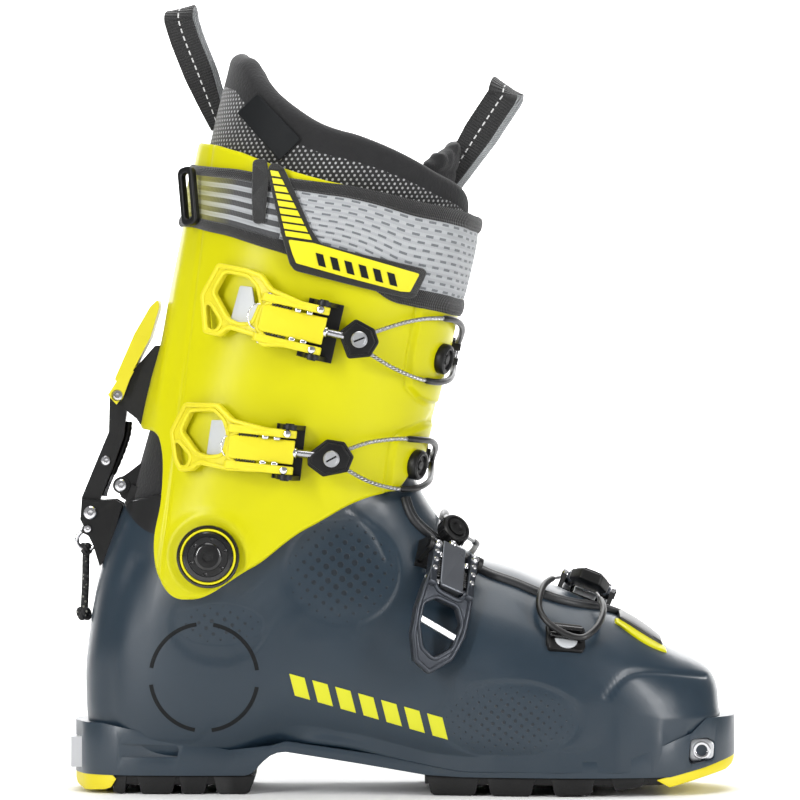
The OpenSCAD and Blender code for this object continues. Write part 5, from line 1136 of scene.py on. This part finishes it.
UC = [[63, 211], [52, 215], [40, 216], [26, 215.5], [12, 213], [0, 209], [-8, 204.5], [-10, 200], [-8, 195.5], [0, 191], [12, 188], [26, 187], [40, 188.5], [52, 192], [62, 198]]
LC = [[68, 155.5], [58, 160], [46, 161.5], [32, 161], [18, 160], [6, 157.5], [-4, 154], [-8, 150.5], [-6, 147], [2, 143], [14, 140.5], [28, 138.6], [42, 139], [56, 142], [66, 147]]
con = lambda q0, q1, off: cpt(-q0, q1, off)
cable("upper_cable", UC, con, 4.4, 1.5, "up_hook", ["upper_cable"], (22, 106), (loc(FU, (22, 3, -5)), loc(FU, (22, -4, -5))))
cable("lower_cable", LC, con, 4.8, 1.5, "lo_hook", ["lower_cable"], (22, 106), (loc(FLO, (25, 3, -5)), loc(FLO, (25, -4, -5))))


def catch(pre, p, nn, dd, r, body, rep, hook):
    f = fr([p, nn, dd]); t = np.linspace(0, 2 * math.pi, 73)[:-1]
    gear = np.array([[(r + 0.35 * (1 if math.cos(12 * a) > 0 else -0.6)) * math.cos(a), (r + 0.35 * (1 if math.cos(12 * a) > 0 else -0.6)) * math.sin(a)] for a in t])
    plate(pre + "_catch_disc", [gear], -2, 1.5, f, M["black"], body, rep, bev=0.4)
    lathe(pre + "_catch_boss", [(0.01, 1.2), (r * 0.62, 1.2), (r * 0.6, 2.5), (r * 0.45, 2.9), (r * 0.4, 2.2), (0.01, 2.1)], p, nn, M["blackgloss"], body, [], 36)
    x0, hw, hh = hook
    for s in (-1, 1): plate(pre + "_catch_lug_%s" % ("a" if s < 0 else "b"), [rnd([[x0, s * hw], [x0 + 3, s * hw], [x0 + 3.4, s * hw * 0.35], [x0 + 0.6, s * hw * 0.3]], 0.5, 2)], 0.6, hh, f, M["black"], body, [], bev=0.4)
    lathe(pre + "_catch_rivet", [(0.01, 2.0), (1.5, 2.0), (1.5, 2.9), (1.1, 3.2), (0.01, 3.2)], p, nn, M["chrome"], body, [], 24)


catch("upper", [20.6, 0, 200.2], [0.975, 0, -0.2], [0, -1, 0], 7, "cuff_body", ["upper_catch"], (3.4, 5, 4.4))
catch("lower", [8.4, 0, 152], [0.985, 0, -0.15], [0, -1, 0], 6.4, "cuff_body", ["lower_catch"], (1.4, 4.6, 3.0))

# instep buckle
IN_ARM = rnd([[-60, -2.6], [-57, 6.4], [-46, 12.4], [-34, 14.2], [-24, 13.6], [-12, 11.5], [1.5, 11.5], [1.5, 8.0], [-17.5, 8.0], [-21.6, 5.4], [-22.4, -5.4], [-18, -8.0], [1.5, -8.0], [1.5, -11.5], [-12, -11.5], [-26, -12.6], [-38, -13.2], [-50, -11]], 1.6, 4)
IN_W1 = rnd([[-52, -2.2], [-49.4, 4.8], [-40.6, 9.6], [-31, 10.4], [-26.6, 5.4], [-26.8, -5.4], [-33, -9.2], [-45, -8.4]], 1.6, 4)
bent_lever("instep_lever", IN_ARM, [IN_W1], 84, 11.6, -18, FI, M["blev"], "in_lever", ["instep_lever"])
gI = (FI[0], FI[1], FI[2], FI[3])
plate("instep_lever_crossbar", [rnd([[-41.6, -9.6], [-38.6, -10.2], [-36.2, 10.4], [-39.2, 10.8]], 0.6, 3)], -0.9, 1.2, FI, M["alloy"], "in_lever", [], bev=0.4, bend=84)
block_set("instep", FI, 84, 11.6, -18, 5, 6, M["grey"], "in_hook", ["instep_block"], 11)
arm_springs("instep", FI, 84, 11.6, -18, 6, "in_lever")
for s in (-1, 1):
    for i, xx in enumerate((-13.2, -8.8, -4.4)):
        lathe("instep_arm_stud_%s%d" % ("a" if s < 0 else "b", i), [(0.01, 0), (1.25, 0), (1.25, 0.8), (0.8, 1.2), (0.01, 1.2)], loc(FI, (xx, s * 9.8, zarc(xx, 84) + 2.0)), FI[3], M["chrome"], "in_lever", [], 20)
lathe("instep_hub", [(0.01, -5), (6.6, -5), (7, -4.5), (7, 0.9), (6.5, 1.6), (5.4, 1.8), (5.1, 1.1), (4.3, 0.9), (4.1, 1.7), (2.6, 1.7), (2.2, 0.9), (0.01, 0.9)], loc(FI, (15, 0, 0)), FI[3], M["black"], "in_hook", ["instep_head"], 52, 28)
t_ = np.linspace(0, 2 * math.pi, 121)[:-1]; kn = np.array([[15 + (7.0 + 0.3 * math.cos(18 * a)) * math.cos(a), (7.0 + 0.3 * math.cos(18 * a)) * math.sin(a)] for a in t_])
plate("instep_hub_knurl", [kn], -3.6, 0.4, FI, M["black"], "in_hook", [], bev=0.3)
IC = [[9.6, -10], [9.7, 2], [9.8, 14], [9.7, 26], [9.4, 33], [9, 36], [8.6, 33], [8.3, 26], [8.2, 14], [8.2, 2], [8.4, -9]]
cable("instep_cable", IC, lpt, 5.2, 1.5, "in_hook", ["instep_cable"], (10, 116), (loc(FI, (15, 4.5, -2)), loc(FI, (15, -4.5, -2))))
catch("instep", lpt(9, 26, 0), [0.5, 0.55, 0.66], [0, -1, 0.4], 6, "lower", ["instep_catch"], (3, 4, 4))

# toe buckle
TO_OUT = rnd([[-46, -6], [-46, 6], [-36, 11.6], [-12, 10.9], [1.5, 10.9], [1.5, 7.0], [-15, 7.0], [-18.4, 5], [-18.4, -5], [-15, -7.0], [1.5, -7.0], [1.5, -10.9], [-12, -10.9], [-36, -11.6]], 1.8, 4)
TO_W = rnd([[-40, -4.6], [-40, 4.6], [-34, 7.6], [-24, 7.4], [-24, -7.4], [-34, -7.6]], 1.5, 4)
bent_lever("toe_lever", TO_OUT, [TO_W], 56, 10.6, -15, FT, M["blev"], "to_lever", ["toe_lever"])
block_set("toe", FT, 56, 10.6, -15, 5, 5.4, M["alloy"], "to_hook", ["toe_block"], 11)
arm_springs("toe", FT, 56, 10.6, -15, 5.4, "to_lever")
H = rnd([[10, -6], [10, 6], [18, 9.6], [26, 5], [26, -5], [18, -9.6]], 1.8, 4)
plate("toe_head_body", [H], -5.6, -0.5, FT, M["black"], "to_hook", ["toe_head"], bev=0.8, res=3)
plate("toe_head_facet", [shrink(H, 1.6)], -1.2, 0.6, FT, M["black"], "to_hook", [], bev=0.55)
slot_screw("toe_head_screw", FT, 17.4, 0, 0.45, 3.7, "to_hook")
for s in (-1, 1):
    q = "a" if s < 0 else "b"; p = loc(FT, (0, s * 10.6, 0)); ax = FT[2] * s
    lathe("toe_roller_" + q, [(0.01, -3.4), (3.6, -3.4), (3.9, -3.0), (3.9, -1.4), (3.2, -1.2), (3.2, 0.1), (3.9, 0.3), (3.9, 1.9), (3.5, 2.3), (1.6, 2.5), (1.4, 2.0), (0.01, 2.0)], p, ax, M["chrome"], "to_lever", [], 36, 30)
TC = [[6.2, -10], [6.5, -28], [6.62, -44], [6.5, -52], [6.2, -56], [5.9, -57], [5.7, -54], [5.5, -44], [5.4, -28], [5.5, -10]]
cable("toe_cable", TC, lpt, 5.6, 1.5, "to_hook", ["toe_cable"], (6, 120))
ft = fr([lpt(6.1, -46, 0), [0.2, -0.76, 0.62], [0, 0.6, 0.8]])
plate("toe_catch_body", [rnd([[-15, -7.6], [-12, -9], [-2, -9], [0, -7], [0, 7], [-2, 9], [-12, 9], [-15, 7.6]], 1.6, 4)], -3, 1.2, ft, M["black"], "lower", ["toe_catch"], bev=0.7, res=3)
for i, xx in enumerate((-2.8, -7.2)): plate("toe_catch_step_%d" % i, [rnd([[xx - 2.4, -7.4], [xx, -8.2], [xx, 8.2], [xx - 2.4, 7.4]], 0.8, 3)], 0.8, 3.2 + 0.4 * i, ft, M["blackgloss"], "lower", [], bev=0.55, res=2)
half_d = [[-9.6 - 4.6 * math.sin(a), -5.2 * math.cos(a)] for a in np.linspace(0, math.pi, 19)]
plate("toe_catch_badge", [np.array(half_d)], 0.7, 1.9, ft, M["white"], "lower", [], bev=0.3)

# ------------------------------------------------------------------ pivots
for s in (-1, 1):
    q = "outer" if s < 0 else "inner"; c0 = (-88.8, 0, 108.6); ax = (0, s, 0)
    lathe("pivot_collar_" + q, [(12.7, 54.6), (12.8, 55.7), (13.3, 56.1), (14.0, 56.0), (14.25, 55.4), (14.25, 52.0), (12.7, 52.0)], c0, ax, M["blackgloss"], "cuff_body", [], 72, 30)
    lathe("pivot_ring_" + q, [(11.5, 55.0), (11.6, 56.0), (11.9, 56.3), (12.3, 56.3), (12.6, 56.0), (12.6, 55.0)], c0, ax, M["patchy"], "lower", ["pivot_rings"] if s < 0 else [], 72, 30)
    lathe("pivot_disc_" + q, [(0.01, 55), (11.3, 55), (11.3, 56.2), (10.7, 56.8), (9.2, 56.95), (8.9, 56.6), (6.4, 56.6), (6.1, 56.95), (5.2, 57.5), (4.2, 57.6), (3.9, 57.2), (3.0, 57.1), (2.8, 56.0), (0.01, 56.0)], c0, ax, M["blackgloss"], "lower", ["pivot_bolts"] if s < 0 else [], 72, 26)
    for k in range(6):
        a = math.radians(20 + 60 * k); p = (-88.8 + 8.0 * math.cos(a), 0, 108.6 + 8.0 * math.sin(a))
        lathe("pivot_dimple_%s_%d" % (q, k), [(0.01, 56.4), (0.95, 56.4), (0.95, 56.95), (0.7, 57.1), (0.5, 56.8), (0.01, 56.7)], p, ax, M["blackgloss"], "lower", [], 18, 30)
    hexa = [[2.5 * math.cos(math.radians(60 * k + 15)), 2.5 * math.sin(math.radians(60 * k + 15))] for k in range(6)]
    me = plate_mesh([[[5.0 * math.cos(t), 5.0 * math.sin(t)] for t in np.linspace(0, 2 * math.pi, 49)[:-1]], hexa], 57.2, 57.62, 0.15, 2)
    map_mesh(me, lambda c: np.c_[c[:, 0] - 88.8, s * c[:, 2], c[:, 1] + 108.6] * 0.001); me.name = "pivot_hex_" + q
    finish_obj("pivot_hex_" + q, me, M["black"], "lower", [], 30)

# ------------------------------------------------------------------ rear mechanism details
def ypin(name, x, z, y0, y1, r, body, mat="chrome"):
    lathe(name, [(0.01, 0), (r, 0), (r, (y1 - y0) - 0.5), (r * 0.8, (y1 - y0)), (r * 0.45, (y1 - y0) + 0.12), (r * 0.35, (y1 - y0) - 0.2), (0.01, (y1 - y0) - 0.2)], (x, -y0, z), (0, -1, 0), M[mat], body, [], 32, 35)


for s in (1, -1):
    q = "outer" if s > 0 else "inner"
    for nm, x, z, y0, y1, r, b in (("bracket_rivet", -131.7, 180.8, 10.6, 12.6, 2.9, "cuff_body"), ("link_screw", -137.3, 150.7, 5.2, 6.7, 2.3, "link"), ("lock_rivet", -144.2, 127, 9.6, 11.8, 3.0, "lower"), ("lock_pin", -145.4, 119.6, 9.6, 11.5, 1.8, "lower"), ("spoiler_rivet", -130, 139.6, 12.6, 14.2, 2.8, "lower")):
        lathe(nm + "_" + q, [(0.01, 0), (r, 0), (r, (y1 - y0) - 0.5), (r * 0.82, (y1 - y0)), (r * 0.45, (y1 - y0) + 0.12), (r * 0.35, (y1 - y0) - 0.25), (0.01, (y1 - y0) - 0.3)], (x, -s * y0, z), (0, -s, 0), M["chrome"], b, [], 32, 35)
WIRE = smooth_path([[-127, 0, 168.6], [-127.6, 0, 163], [-129.6, 0, 156.6], [-132.4, 0, 149.6], [-136, 0, 141.6], [-137.8, 0, 137], [-138.4, 0, 134.2]], 5)
n = len(WIRE); tube("release_wire_sleeve", WIRE[:int(n * 0.62)], [1.75 if i % 2 else 1.45 for i in range(int(n * 0.62))], M["black"], "link", [], 16)
